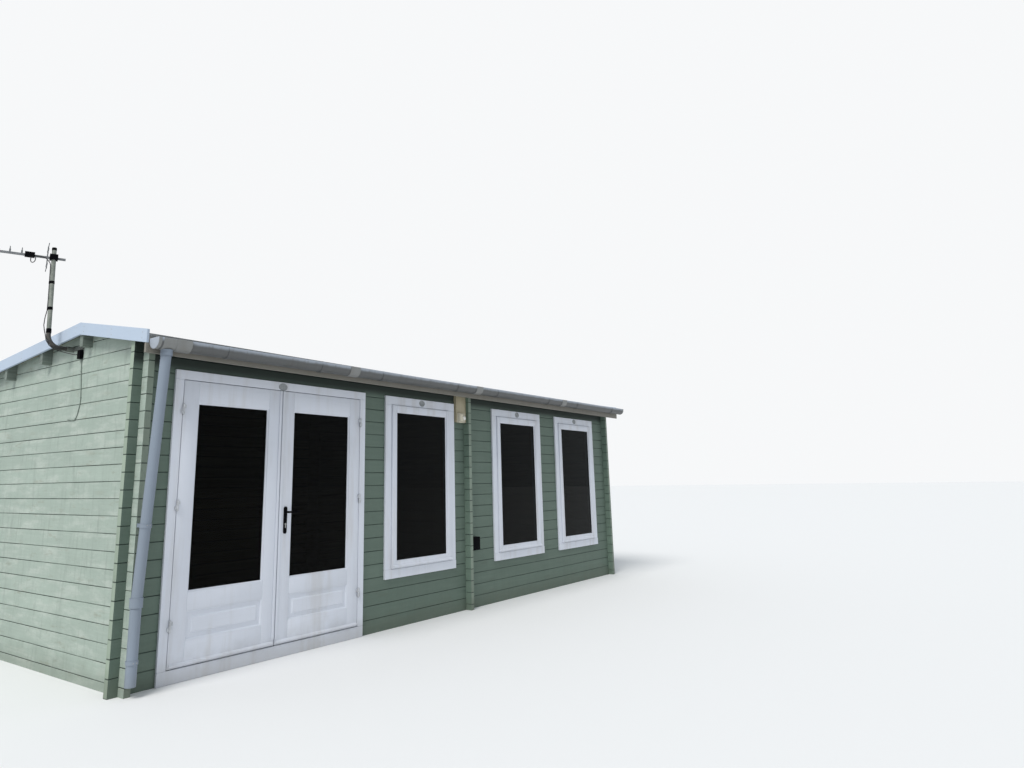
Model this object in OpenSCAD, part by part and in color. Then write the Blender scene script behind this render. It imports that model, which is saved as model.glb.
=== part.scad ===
// Garden office pod: a log-built garden room with a low offset ridge, glazed double doors
// and three tall windows along its front.
// Site coordinates inside the modules: X runs along the front wall from the outer face of the
// left gable, Y runs into the building from the outer face of the front wall, Z is up.
// The finished part is centred on its footprint, with its underside at Z = 0.

/* [Building] */
// Length of the building between the outer faces of the two gables
wall_len = 6940; // [6800:10:7600]
// Depth of the building between the outer faces of the front and back walls
wall_dep = 2500; // [2350:10:2900]
// Number of log courses in the front wall
courses = 20; // [20:1:22]

/* [Logs] */
// Height of one log course
log_h = 114; // [106:1:122]
// Thickness of the logs
log_t = 44; // [34:1:54]
// How far the log ends stand out past a crossing wall
log_end = 68; // [50:1:85]
// Depth of the V groove between two courses
groove = 5; // [2:0.5:8]
// Working gap in the notched crossings and other seats
joint_gap = 0.15; // [0.1:0.05:0.3]

/* [Partition] */
// Distance of the partition's left face from the left gable
partition_x = 3610; // [3560:10:3760]
// Start of the inner doorway behind the front wall
doorway_y = 1500; // [1000:10:1560]
// Width of the inner doorway
doorway_w = 760; // [700:10:780]
// Height of the inner doorway in courses
doorway_courses = 17; // [16:1:18]

/* [Roof] */
// Distance of the ridge behind the front wall
ridge_back = 755; // [650:5:900]
// Pitch of the short front slope in degrees
front_pitch = 10.9; // [8:0.1:14]
// Pitch of the long rear slope in degrees
rear_pitch = 5.45; // [4:0.05:6]
// Thickness of the roof boards
deck_t = 19; // [16:1:28]
// Thickness of the mineral felt
felt_t = 3; // [2:0.5:5]
// Overhang of the roof boards past the gables
gable_over = 75; // [72:1:140]
// Overhang of the roof boards past the front and back walls
eave_over = 170; // [140:5:240]
// Half width of the capping felt over the ridge
ridge_cap = 150; // [100:5:250]
// Width of a purlin
purlin_w = 45; // [38:1:60]
// Depth of a purlin
purlin_d = 130; // [100:1:150]
// Spacing of the purlins down the rear slope
purlin_pitch = 645; // [560:5:700]
// Thickness of the bargeboards
barge_t = 20; // [15:1:28]
// Rise of the bargeboards above the underside of the roof boards
barge_up = 49; // [38:1:60]
// Drop of the bargeboards below the underside of the roof boards
barge_down = 43; // [25:1:60]
// Thickness of the eaves boards
fascia_t = 20; // [15:1:28]
// Height of the eaves boards
fascia_h = 127; // [105:1:150]

/* [Windows] */
// Distance of the first window's trim from the partition
window_1_gap = 190; // [185:5:220]
// Left edge of the second window's trim
window_2_x = 4121; // [4080:5:4160]
// Width over a window's trim
window_w = 1040; // [900:10:1060]
// Courses of logs below the windows
sill_courses = 4; // [2:1:8]
// Courses of logs up to the heads of the windows and the door
head_courses = 18; // [16:1:18]
// Width of the window trim
trim_w = 80; // [60:1:100]
// Thickness of the trim on the face of the wall
trim_t = 20; // [14:1:26]
// How far the trim laps over the logs
trim_lap = 28; // [20:1:40]
// Width of the stop behind the sash
stop_w = 20; // [12:1:26]
// How far the frames stand out inside the wall
frame_back = 16; // [5:1:30]
// Width of a sash rail
sash_w = 61; // [45:1:75]
// Thickness of a sash
sash_t = 44; // [34:1:50]
// How far a sash stands proud of the trim
sash_proud = 14; // [6:1:20]
// Depth of a glass pane's rebate
rebate = 8; // [5:1:12]
// Thickness of the glass
pane_t = 8; // [4:1:16]
// How far the glass lies behind the face of its sash or door
pane_set = 16; // [10:1:20]
// How far the window sill stands out from the wall
sill_out = 24; // [21:1:40]
// How far the weather bars stand out from the sashes and the leaves
bar_out = 12; // [8:1:18]
// Height of a weather bar
bar_rise = 20; // [14:1:28]

/* [Doors] */
// Left edge of the door trim
door_x = 238; // [200:2:260]
// Width over the door trim
door_w = 1872; // [1760:4:1884]
// Width of the door frame that shows beside the leaves
door_trim_w = 65; // [50:1:80]
// Gap round each leaf
door_gap = 5; // [5:0.5:8]
// Gap between the two closed leaves
meeting_gap = 9; // [9:0.5:12]
// Height of the threshold
threshold_h = 90; // [85:1:110]
// Thickness of a leaf
leaf_t = 44; // [38:1:50]
// How far the leaves lie behind the face of the door trim
leaf_set = 2; // [0:1:6]
// Width of the stiles
stile_w = 120; // [100:1:140]
// Height of the top rail
top_rail_h = 152; // [110:2:190]
// Height of the glass's lower edge above the ground
glass_low = 565; // [530:5:700]
// Height of the bottom rail
bottom_rail_h = 160; // [120:5:200]
// Height of the rail under the glass
middle_rail_h = 120; // [90:5:150]
// Thickness of the lower panel
panel_t = 20; // [12:1:24]
// Width of the bevelled border round the raised field of the lower panel
field_border = 38; // [25:1:50]
// Width of the cover bead along the meeting edges
bead_w = 22; // [16:1:28]
// How far the cover beads stand proud of the leaves
bead_t = 6; // [4:1:9]
// Width of the stop behind the leaves
door_stop_w = 16; // [12:1:24]

/* [Hinges and handle] */
// Radius of a hinge barrel
hinge_r = 9; // [7:0.5:11]
// Length of one half of a hinge barrel
hinge_half = 34; // [25:1:45]
// Radius of the hinge pin
pin_r = 4; // [3:0.5:5]
// Running gap round the hinge pin and the lever's neck
run_gap = 0.05; // [0.02:0.01:0.1]
// Height of the lowest hinge
hinge_low = 330; // [250:10:450]
// Height of the middle hinge
hinge_mid = 1110; // [900:10:1300]
// Height of the top hinge
hinge_top = 1770; // [1600:10:1850]
// Height of the lever above the ground
lever_z = 1063; // [1000:5:1100]
// Width of the handle plate
plate_w = 30; // [24:1:40]
// Length of the handle plate
plate_h = 206; // [160:2:240]
// Thickness of the handle plate
plate_t = 8; // [5:1:12]
// How far the plate reaches above the lever's axis
plate_up = 42; // [32:1:60]
// Radius of the lever's neck
neck_r = 8; // [6:0.5:10]
// Distance of the grip from the handle plate
neck_out = 42; // [34:1:55]
// Length of the grip
grip_len = 92; // [70:1:110]
// Radius of the grip
grip_r = 8.5; // [6:0.5:10]

/* [Floor] */
// Height of a floor joist
joist_h = 58; // [45:1:60]
// Width of a floor joist
joist_w = 44; // [34:1:60]
// Number of joist bays on each side of the building's middle
joist_bays = 6; // [5:1:8]
// Thickness of the floorboards
board_t = 19; // [16:1:24]
// Gap between the floorboards and the walls
board_gap = 6; // [3:1:10]

/* [Rainwater] */
// Outer radius of the gutter
gutter_r = 56; // [50:1:62]
// Straight part of the gutter's sides
gutter_side = 19; // [10:1:30]
// Wall thickness of the gutter and the downpipe
plastic_t = 2; // [1.5:0.5:3]
// Height of the gutter's rim below the top of the eaves board
gutter_drop = 34; // [26:1:44]
// Rise of the gutter away from its outlet, in millimetres a metre
gutter_fall = 4.5; // [0:0.5:4.5]
// Distance of the gutter's middle joint from the left gable
gutter_mid = 3500; // [3400:10:3600]
// Length of one piece of gutter
gutter_piece = 1800; // [1700:50:2200]
// Length of the gutter's outlet piece
outlet_len = 190; // [186:2:220]
// Length of the union over a joint of the gutter
union_len = 110; // [80:5:140]
// Thickness of a gutter bracket
bracket_t = 3; // [2:0.5:5]
// Width of a gutter bracket
bracket_w = 26; // [20:1:40]
// Distance of a bracket from the end of its length of gutter
bracket_inset = 355; // [250:5:500]
// Number of brackets on a length of gutter
bracket_count = 2; // [2:1:4]
// Outer radius of the downpipe
pipe_r = 34; // [30:1:36]
// Distance of the downpipe's axis from the left gable's face
pipe_x = 16; // [0:1:40]
// Length of the bend below the gutter's outlet
pipe_head = 250; // [230:5:300]
// Height of the collar where the leaning pipe meets the upright one
collar_z = 560; // [500:10:700]
// Length of the collar
collar_h = 60; // [50:1:80]
// Gap between the lower pipe and the log ends
pipe_stand = 6; // [4:1:12]
// Height of the pipe's lower end above the ground
shoe_z = 70; // [40:5:120]
// Height of the pipe clip
clip_z = 1030; // [800:10:1400]
// Width of a pipe clip
clip_w = 24; // [18:1:34]

/* [Fittings] */
// Length of the blank disc on the head of each frame
disc_w = 85; // [60:1:100]
// Height of the blank disc
disc_h = 52; // [40:1:56]
// Thickness of the blank disc
disc_t = 2; // [1:0.5:4]
// Width of the board under the movement sensor
sensor_board_w = 165; // [130:1:170]
// Thickness of the board under the movement sensor
sensor_board_t = 33; // [20:1:45]
// Height of the board's lower edge above the ground
sensor_board_z = 1890; // [1850:5:1950]
// Height of the board under the movement sensor
sensor_board_h = 300; // [200:5:310]
// Width of the movement sensor
sensor_w = 104; // [80:1:120]
// Height of the movement sensor
sensor_h = 96; // [80:1:110]
// Depth of the movement sensor's housing
sensor_d = 46; // [35:1:60]
// Radius of the movement sensor's lens
lens_r = 27; // [20:1:34]
// Width of the outdoor socket
socket_w = 118; // [90:1:130]
// Height of the outdoor socket
socket_h = 132; // [110:1:150]
// Depth of the outdoor socket
socket_d = 66; // [50:1:80]
// Height of the outdoor socket's lower edge above the ground
socket_z = 578; // [520:2:640]

/* [Aerial] */
// Distance of the mast behind the front wall
mast_wall_y = 1030; // [1000:5:1050]
// Height of the mast's horizontal arm
mast_arm_z = 2313; // [2290:1:2320]
// Horizontal reach of the arm
mast_reach = 190; // [180:1:260]
// Lean of the mast towards the back in degrees
mast_lean = 4.5; // [0:0.5:7]
// Radius of the mast tube
mast_r = 16; // [12:0.5:19]
// Radius of the bend between arm and mast
mast_bend = 90; // [70:1:110]
// Height of the mast's top
mast_top = 3100; // [2950:10:3200]
// Distance of the aerial's boom below the mast's top
boom_drop = 78; // [60:2:120]
// Direction of the boom in degrees from the front wall's line
boom_heading = 160; // [150:1:170]
// Length of the boom in front of the mast
boom_len = 918; // [850:2:1000]
// Length of the boom behind the mast
boom_tail = 82; // [70:1:110]
// Width of the square boom
boom_w = 16; // [12:1:20]
// Length of a director
director_len = 166; // [120:2:220]
// Radius of the aerial's rods
rod_r = 3; // [2:0.5:4]
// Spacing of the directors
director_pitch = 77; // [66:1:80]
// Number of directors
director_count = 9; // [7:1:9]
// Height of the posts that carry the directors
post_h = 30; // [20:1:40]
// Half height of the reflector
reflector_half = 88; // [70:1:110]
// Length of a reflector rod
reflector_len = 250; // [200:5:320]
// Radius of the aerial cable
cable_r = 3.5; // [2.5:0.5:4]

/* [Hidden] */
$fn = 48;

log_green = [0.47, 0.56, 0.49];
joinery_white = [0.82, 0.84, 0.86];
raw_timber = [0.72, 0.58, 0.40];
plastic_grey = [0.62, 0.66, 0.70];
felt_grey = [0.38, 0.40, 0.41];
glass_tint = [0.35, 0.42, 0.45, 0.5];
hardware_black = [0.06, 0.06, 0.07];
hinge_white = [0.75, 0.77, 0.79];
steel_grey = [0.50, 0.52, 0.48];
cream = [0.78, 0.74, 0.62];

plate_z = courses * log_h;
ridge_z = plate_z + ridge_back * tan(front_pitch);
sill_z = sill_courses * log_h;
head_z = head_courses * log_h;
seat = 2 * joint_gap;
eave_y = eave_over + fascia_t;
partition_end = partition_x + log_t;
doorway_top = (doorway_courses + 0.5) * log_h;
doorway_end = doorway_y + doorway_w;
window_1_x = partition_x - window_1_gap - window_w;
// The third window stands midway between the second one and the right end
window_3_x = (wall_len + window_2_x) / 2;
window_x = [window_1_x, window_2_x, window_3_x];

// Underside of the roof boards at a distance y behind the front wall
function roof_z(y) = y < ridge_back
    ? plate_z + y * tan(front_pitch)
    : ridge_z - (y - ridge_back) * tan(rear_pitch);

purlin_y = [for (i = [0 : 2]) ridge_back + i * purlin_pitch];

module site() {
    translate([-wall_len / 2, -wall_dep / 2, 0]) children();
}

// A section drawn in (Y, Z) and run along X
module along_x(x0, x1) {
    translate([x0, 0, 0]) rotate([90, 0, 90]) linear_extrude(x1 - x0) children();
}

// A section drawn in (X, Z) and run along Y
module along_y(y0, y1) {
    translate([0, y1, 0]) rotate([90, 0, 0]) linear_extrude(y1 - y0) children();
}

// A block given by its low and high corners
module block(low, high) {
    translate(low) cube(high - low);
}

// Log sections: every course meets the next in a V groove on both faces.
// The front and back walls start with a whole log, the crossing walls with half a log.
function joint_levels(z0, z1, shift) = [
    for (k = [0 : courses + 6])
        let (z = shift + k * log_h)
        if (z > z0 + groove && z < z1 - groove) z
];
function grooved_edge(face, inward, levels) = [
    for (z = levels) each [[face, z - groove], [face + inward * groove, z], [face, z + groove]]
];
function reversed(v) = [for (i = [len(v) - 1 : -1 : 0]) v[i]];
function low_end(face, inward, z, cut) = cut
    ? [[face + inward * groove, z], [face, z + groove]]
    : [[face, z]];
function high_end(face, inward, z, cut) = cut
    ? [[face, z - groove], [face + inward * groove, z]]
    : [[face, z]];
function section_side(face, inward, z0, z1, shift, low_cut, high_cut) = concat(
    low_end(face, inward, z0, low_cut),
    grooved_edge(face, inward, joint_levels(z0, z1, shift)),
    high_end(face, inward, z1, high_cut)
);
function log_section(z0, top_out, top_in, shift, low_cut = false, high_cut = false) = concat(
    section_side(0, 1, z0, top_out, shift, low_cut, high_cut),
    reversed(section_side(log_t, -1, z0, top_in, shift, low_cut, high_cut))
);

// Slots in a front or back log where the crossing wall's logs pass through it
module notches_for_crossing(x) {
    for (k = [0 : courses])
        block(
            [x - joint_gap, -1, (k - 0.25) * log_h - joint_gap],
            [x + log_t + joint_gap, log_t + 1, (k + 0.25) * log_h + joint_gap]
        );
}

// Slots in a crossing wall where the front or back logs pass through it
module notches_for_front(x, y) {
    for (k = [0 : courses - 1])
        block(
            [x - 1, y - joint_gap, (k + 0.25) * log_h - joint_gap],
            [x + log_t + 1, y + log_t + joint_gap, (k + 0.75) * log_h + joint_gap]
        );
}

module purlin_pockets(x) {
    for (y = purlin_y)
        block(
            [x - 1, y - purlin_w / 2 - joint_gap, roof_z(y) - purlin_d - joint_gap],
            [x + log_t + 1, y + purlin_w / 2 + joint_gap, ridge_z + 1]
        );
}

module front_logs(x0, x1, z0, z1, low_cut = false, high_cut = false) {
    along_x(x0, x1) polygon(log_section(z0, z1, z1, 0, low_cut, high_cut));
}

module left_corner_logs() {
    color(log_green) site() difference() {
        front_logs(-log_end, door_x + trim_lap, 0, head_z, false, true);
        notches_for_crossing(0);
    }
}

module door_side_logs() {
    color(log_green) site()
        front_logs(door_x + door_w - trim_lap, window_1_x + trim_lap, 0, head_z, false, true);
}

module partition_side_logs() {
    color(log_green) site() difference() {
        front_logs(window_1_x + window_w - trim_lap, window_2_x + trim_lap, 0, head_z, false, true);
        notches_for_crossing(partition_x);
    }
}

module window_side_logs() {
    color(log_green) site()
        front_logs(window_2_x + window_w - trim_lap, window_3_x + trim_lap, 0, head_z, false, true);
}

module right_corner_logs() {
    color(log_green) site() difference() {
        front_logs(window_3_x + window_w - trim_lap, wall_len + log_end, 0, head_z, false, true);
        notches_for_crossing(wall_len - log_t);
    }
}

module window_low_logs() {
    color(log_green) site() for (x = window_x)
        front_logs(x + trim_lap, x + window_w - trim_lap, 0, sill_z);
}

module front_top_logs() {
    color(log_green) site() difference() {
        along_x(-log_end, wall_len + log_end)
            polygon(log_section(head_z, roof_z(0), roof_z(log_t), 0, true));
        notches_for_crossing(0);
        notches_for_crossing(partition_x);
        notches_for_crossing(wall_len - log_t);
    }
}

module back_wall() {
    color(log_green) site() translate([0, wall_dep, 0]) mirror([0, 1, 0]) difference() {
        along_x(-log_end, wall_len + log_end)
            polygon(log_section(0, roof_z(wall_dep), roof_z(wall_dep - log_t), 0));
        notches_for_crossing(0);
        notches_for_crossing(partition_x);
        notches_for_crossing(wall_len - log_t);
    }
}

// Outline of a crossing wall under the roof, run through the wall's thickness
module under_roof(y0, y1, z0) {
    middle = y0 < ridge_back && y1 > ridge_back ? [[ridge_back, ridge_z]] : [];
    along_x(-1, log_t + 1)
        polygon(concat([[y1, z0], [y0, z0], [y0, roof_z(y0)]], middle, [[y1, roof_z(y1)]]));
}

module crossing_wall() {
    difference() {
        intersection() {
            along_y(-log_end, wall_dep + log_end)
                polygon(log_section(0, ridge_z + 1, ridge_z + 1, log_h / 2));
            under_roof(-log_end, wall_dep + log_end, 0);
        }
        notches_for_front(0, 0);
        notches_for_front(0, wall_dep - log_t);
        purlin_pockets(0);
    }
}

module left_gable() {
    color(log_green) site() crossing_wall();
}

module right_gable() {
    color(log_green) site() translate([wall_len, 0, 0]) mirror([1, 0, 0]) crossing_wall();
}

module partition_logs(y0, y1) {
    along_y(y0, y1)
        polygon(log_section(0, doorway_top, doorway_top, log_h / 2, false, true));
}

module partition_front_logs() {
    color(log_green) site() translate([partition_x, 0, 0]) difference() {
        partition_logs(-log_end, doorway_y);
        notches_for_front(0, 0);
    }
}

module partition_back_logs() {
    color(log_green) site() translate([partition_x, 0, 0]) difference() {
        partition_logs(doorway_end, wall_dep + log_end);
        notches_for_front(0, wall_dep - log_t);
    }
}

module partition_top_logs() {
    color(log_green) site() translate([partition_x, 0, 0]) difference() {
        intersection() {
            along_y(-log_end, wall_dep + log_end)
                polygon(log_section(doorway_top, ridge_z + 1, ridge_z + 1, log_h / 2, true));
            under_roof(-log_end, wall_dep + log_end, doorway_top);
        }
        notches_for_front(0, 0);
        notches_for_front(0, wall_dep - log_t);
        purlin_pockets(0);
    }
}

// Floor: joists on the ground, boards on the joists, one bay of each per room
rooms = [[log_t, partition_x], [partition_end, wall_len - log_t]];

module floor_joists() {
    pitch = (wall_len / 2 - log_t - board_gap - joist_w / 2) / joist_bays;
    color(raw_timber) site() difference() {
        for (i = [-joist_bays : joist_bays]) {
            x = wall_len / 2 + i * pitch;
            block(
                [x - joist_w / 2, log_t + frame_back + seat, 0],
                [x + joist_w / 2, wall_dep - log_t - seat, joist_h]
            );
        }
        block([partition_x - seat, 0, -1], [partition_end + seat, wall_dep, joist_h + 1]);
    }
}

module floor_boards() {
    color(raw_timber) site() {
        for (room = rooms)
            block(
                [room[0] + board_gap, log_t + frame_back + board_gap, joist_h],
                [room[1] - board_gap, wall_dep - log_t - board_gap, joist_h + board_t]
            );
        block(
            [partition_x - board_gap - 1, doorway_y + board_gap, joist_h],
            [partition_end + board_gap + 1, doorway_end - board_gap, joist_h + board_t]
        );
    }
}

// Door frame: trim on the face of the logs, a lining through the wall and a stop behind the leaves
door_end = door_x + door_w;
door_top = head_z + trim_lap;
leaf_x0 = door_x + door_trim_w;
leaf_x1 = door_end - door_trim_w;
leaf_top = door_top - door_trim_w - door_gap;
leaf_low = threshold_h + door_gap;
leaf_w = (leaf_x1 - leaf_x0 - 2 * door_gap - meeting_gap) / 2;
leaf_y0 = -trim_t + leaf_set;
leaf_y1 = leaf_y0 + leaf_t;
leaf_glass_top = leaf_top - top_rail_h;

module door_frame() {
    color(joinery_white) site() difference() {
        union() {
            block([door_x, -trim_t, 0], [door_end, -joint_gap, door_top]);
            block(
                [door_x + trim_lap + joint_gap, -trim_t, 0],
                [door_end - trim_lap - joint_gap, log_t + frame_back, head_z - joint_gap]
            );
        }
        block(
            [leaf_x0, -trim_t - 1, threshold_h],
            [leaf_x1, leaf_y1 + door_gap, leaf_top + door_gap]
        );
        block(
            [leaf_x0 + door_stop_w, -trim_t - 1, threshold_h],
            [leaf_x1 - door_stop_w, log_t + frame_back + 1, leaf_top + door_gap - door_stop_w]
        );
    }
}

// A bar along X on the face at y, that throws the rain off: sloped above, square below
module weather_bar(x0, x1, y, z) {
    along_x(x0, x1) polygon([[y + 1, z], [y - bar_out, z], [y - bar_out, z + 0.35 * bar_rise], [y + 1, z + bar_rise]]);
}

// One leaf with its left edge at x: stiles and rails round a rebated pane, a raised panel below
module leaf(x) {
    inner0 = x + stile_w;
    inner1 = x + leaf_w - stile_w;
    panel_top = glass_low - middle_rail_h;
    panel_low = leaf_low + bottom_rail_h;
    panel_side = (leaf_t - panel_t) / 2;
    difference() {
        block([x, leaf_y0, leaf_low], [x + leaf_w, leaf_y1, leaf_top]);
        block([inner0, leaf_y0 - 1, glass_low], [inner1, leaf_y1 + 1, leaf_glass_top]);
        block(
            [inner0 - rebate, leaf_y0 + pane_set, glass_low - rebate],
            [inner1 + rebate, leaf_y1 + 1, leaf_glass_top + rebate]
        );
        block([inner0, leaf_y0 - 1, panel_low], [inner1, leaf_y0 + panel_side, panel_top]);
        block([inner0, leaf_y1 - panel_side, panel_low], [inner1, leaf_y1 + 1, panel_top]);
    }
    for (side = [-1, 1])
        panel_field(
            [inner0 + field_border, inner1 - field_border], [panel_low + field_border, panel_top - field_border],
            (leaf_y0 + leaf_y1) / 2 + side * (panel_t / 2 - 1), side * (panel_side - 2)
        );
    weather_bar(x + 10, x + leaf_w - 10, leaf_y0, leaf_low + 12);
}

// Raised field of a panel: it grows from the panel's face and narrows towards the room or the garden
module panel_field(across, height, y, out) {
    centre = [(across[0] + across[1]) / 2, y, (height[0] + height[1]) / 2];
    size = [across[1] - across[0], height[1] - height[0]];
    narrow = [(size[0] - 24) / size[0], (size[1] - 24) / size[1]];
    translate(centre) rotate([out < 0 ? 90 : -90, 0, 0])
        linear_extrude(abs(out), scale = narrow) square(size, center = true);
}

// Cover bead that starts at x, along the meeting edge of a leaf
module meeting_bead(x) {
    block([x, leaf_y0 - bead_t, leaf_low + bar_rise + 24], [x + bead_w, leaf_y0 + 1, leaf_top]);
}

// The pane lies in its rebate, held by a bead that is part of the leaf's colour in the finish
module leaf_pane(x) {
    block(
        [x + stile_w - rebate + seat, leaf_y0 + pane_set + seat, glass_low - rebate + seat],
        [x + leaf_w - stile_w + rebate - seat, leaf_y0 + pane_set + seat + pane_t,
            leaf_glass_top + rebate - seat]
    );
}

left_leaf_x = leaf_x0 + door_gap;
right_leaf_x = leaf_x1 - door_gap - leaf_w;
lever_x = right_leaf_x + stile_w / 2;

module left_door_leaf() {
    color(joinery_white) site() {
        leaf(left_leaf_x);
        meeting_bead(left_leaf_x + leaf_w - bead_w);
    }
}

module left_door_glass() {
    color(glass_tint) site() leaf_pane(left_leaf_x);
}

module right_door_leaf() {
    color(joinery_white) site() difference() {
        union() {
            leaf(right_leaf_x);
            meeting_bead(right_leaf_x);
        }
        translate([lever_x, leaf_y1 + 1, lever_z]) rotate([90, 0, 0])
            cylinder(h = leaf_t + 2, r = neck_r + 2);
    }
}

module right_door_glass() {
    color(glass_tint) site() leaf_pane(right_leaf_x);
}

// Screw-in barrel hinges: the pin stands in the frame half, the leaf half turns on it
hinge_z = [hinge_low, hinge_mid, hinge_top];
hinge_y = -trim_t - hinge_r - joint_gap;
left_hinge_x = leaf_x0 + door_gap / 2;
right_hinge_x = leaf_x1 - door_gap / 2;
tip_h = 6;

module frame_hinges() {
    color(hinge_white) site() for (side = [-1, 1], z = hinge_z) {
        x = side < 0 ? left_hinge_x : right_hinge_x;
        translate([x, hinge_y, z]) {
            cylinder(h = hinge_half, r = hinge_r);
            cylinder(h = 2 * hinge_half - 3, r = pin_r);
            translate([0, 0, -tip_h]) cylinder(h = tip_h, r1 = hinge_r * 0.45, r2 = hinge_r);
        }
        block(
            [min(x, x + side * (hinge_r + 8)), hinge_y - 1.5, z + 4],
            [max(x, x + side * (hinge_r + 8)), -trim_t - joint_gap, z + hinge_half - 4]
        );
    }
}

module leaf_hinges(x, side) {
    for (z = hinge_z) difference() {
        union() {
            translate([x, hinge_y, z + hinge_half + seat]) {
                cylinder(h = hinge_half, r = hinge_r);
                translate([0, 0, hinge_half]) cylinder(h = tip_h, r1 = hinge_r, r2 = hinge_r * 0.45);
            }
            block(
                [min(x, x - side * (hinge_r + 10)), hinge_y - 1.5, z + hinge_half + 5],
                [max(x, x - side * (hinge_r + 10)), leaf_y0 - joint_gap, z + 2 * hinge_half - 4]
            );
        }
        translate([x, hinge_y, z + hinge_half]) cylinder(h = hinge_half - 2, r = pin_r + run_gap);
    }
}

module left_leaf_hinges() {
    color(hinge_white) site() leaf_hinges(left_hinge_x, -1);
}

module right_leaf_hinges() {
    color(hinge_white) site() leaf_hinges(right_hinge_x, 1);
}

// A plate with round ends, centred on x, from z0 to z1, between y0 and y1
module round_plate(x, w, z0, z1, y0, y1) {
    along_y(y0, y1) {
        translate([x, z0 + w / 2]) circle(d = w);
        translate([x, z1 - w / 2]) circle(d = w);
        translate([x - w / 2, z0 + w / 2]) square([w, z1 - z0 - w]);
    }
}

plate_top = lever_z + plate_up;

module handle_plates() {
    color(hardware_black) site() for (side = [-1, 1]) difference() {
        round_plate(
            lever_x, plate_w, plate_top - plate_h, plate_top,
            side < 0 ? leaf_y0 - plate_t - joint_gap : leaf_y1 + joint_gap,
            side < 0 ? leaf_y0 - joint_gap : leaf_y1 + joint_gap + plate_t
        );
        translate([lever_x, leaf_y1 + plate_t + 2, lever_z]) rotate([90, 0, 0])
            cylinder(h = leaf_t + 2 * plate_t + 4, r = neck_r + run_gap);
    }
}

module grip(y) {
    translate([lever_x, y, lever_z]) {
        sphere(r = grip_r);
        rotate([0, 90, 0]) cylinder(h = grip_len, r = grip_r);
        translate([grip_len, 0, 0]) sphere(r = grip_r);
    }
}

module door_lever() {
    front_y = leaf_y0 - plate_t - neck_out;
    back_y = leaf_y1 + plate_t + neck_out;
    color(hardware_black) site() {
        translate([lever_x, back_y, lever_z]) rotate([90, 0, 0])
            cylinder(h = back_y - front_y, r = neck_r);
        grip(front_y);
        grip(back_y);
    }
}

// Windows: trim, lining and stop in one frame, with the sash standing slightly proud
window_top = head_z + trim_lap;
window_low = sill_z - trim_lap;

module window_frame(x) {
    inner = x + trim_w;
    inner_end = x + window_w - trim_w;
    sash_back = -trim_t - sash_proud + sash_t;
    difference() {
        union() {
            block([x, -trim_t, window_low], [x + window_w, -joint_gap, window_top]);
            block([x, -sill_out, window_low], [x + window_w, -joint_gap, window_low + trim_lap + 4]);
            block(
                [x + trim_lap + joint_gap, -trim_t, sill_z + joint_gap],
                [x + window_w - trim_lap - joint_gap, log_t + frame_back, head_z - joint_gap]
            );
        }
        block(
            [inner, -trim_t - 1, window_low + trim_w],
            [inner_end, sash_back + seat, window_top - trim_w]
        );
        block(
            [inner + stop_w, -trim_t - 1, window_low + trim_w + stop_w],
            [inner_end - stop_w, log_t + frame_back + 1, window_top - trim_w - stop_w]
        );
    }
}

sash_gap = 3;
sash_y0 = -trim_t - sash_proud;
sash_z0 = window_low + trim_w + sash_gap;
sash_z1 = window_top - trim_w - sash_gap;

module window_sash(x) {
    x0 = x + trim_w + sash_gap;
    x1 = x + window_w - trim_w - sash_gap;
    difference() {
        block([x0, sash_y0, sash_z0], [x1, sash_y0 + sash_t, sash_z1]);
        block([x0 + sash_w, sash_y0 - 1, sash_z0 + sash_w], [x1 - sash_w, 50, sash_z1 - sash_w]);
        block(
            [x0 + sash_w - rebate, sash_y0 + pane_set, sash_z0 + sash_w - rebate],
            [x1 - sash_w + rebate, 50, sash_z1 - sash_w + rebate]
        );
    }
    weather_bar(x0 + 4, x1 - 4, sash_y0, sash_z0 + 12);
}

module window_pane(x) {
    side = trim_w + sash_gap + sash_w - rebate + seat;
    block(
        [x + side, sash_y0 + pane_set + seat, sash_z0 + sash_w - rebate + seat],
        [x + window_w - side, sash_y0 + pane_set + seat + pane_t, sash_z1 - sash_w + rebate - seat]
    );
}

module window_1_frame() {
    color(joinery_white) site() window_frame(window_1_x);
}

module window_2_frame() {
    color(joinery_white) site() window_frame(window_2_x);
}

module window_3_frame() {
    color(joinery_white) site() window_frame(window_3_x);
}

module window_1_sash() {
    color(joinery_white) site() window_sash(window_1_x);
}

module window_2_sash() {
    color(joinery_white) site() window_sash(window_2_x);
}

module window_3_sash() {
    color(joinery_white) site() window_sash(window_3_x);
}

module window_panes() {
    color(glass_tint) site() for (x = window_x) window_pane(x);
}

// Blank oval discs at the top centre of each frame
disc_x = concat([door_x + door_w / 2], [for (x = window_x) x + window_w / 2]);

module frame_discs() {
    z = window_top - (trim_w - disc_h) / 2 - disc_h - 2;
    zd = door_top - (door_trim_w - disc_h) / 2 - disc_h - 2;
    color(plastic_grey) site() for (i = [0 : 3]) {
        z0 = i == 0 ? zd : z;
        along_y(-trim_t - disc_t, -trim_t - joint_gap) {
            translate([disc_x[i] - (disc_w - disc_h) / 2, z0 + disc_h / 2]) circle(d = disc_h);
            translate([disc_x[i] + (disc_w - disc_h) / 2, z0 + disc_h / 2]) circle(d = disc_h);
            translate([disc_x[i] - (disc_w - disc_h) / 2, z0]) square([disc_w - disc_h, disc_h]);
        }
    }
}

// Roof
deck_x0 = -gable_over;
deck_x1 = wall_len + gable_over;
rear_eave = wall_dep + eave_over;

module purlins() {
    color(raw_timber) site() for (y = purlin_y) {
        low = y - purlin_w / 2;
        high = y + purlin_w / 2;
        apex = y == ridge_back ? [[ridge_back, ridge_z]] : [];
        along_x(deck_x0, deck_x1) polygon(concat(
            [[high, roof_z(y) - purlin_d], [low, roof_z(y) - purlin_d], [low, roof_z(low)]],
            apex,
            [[high, roof_z(high)]]
        ));
    }
}

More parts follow.
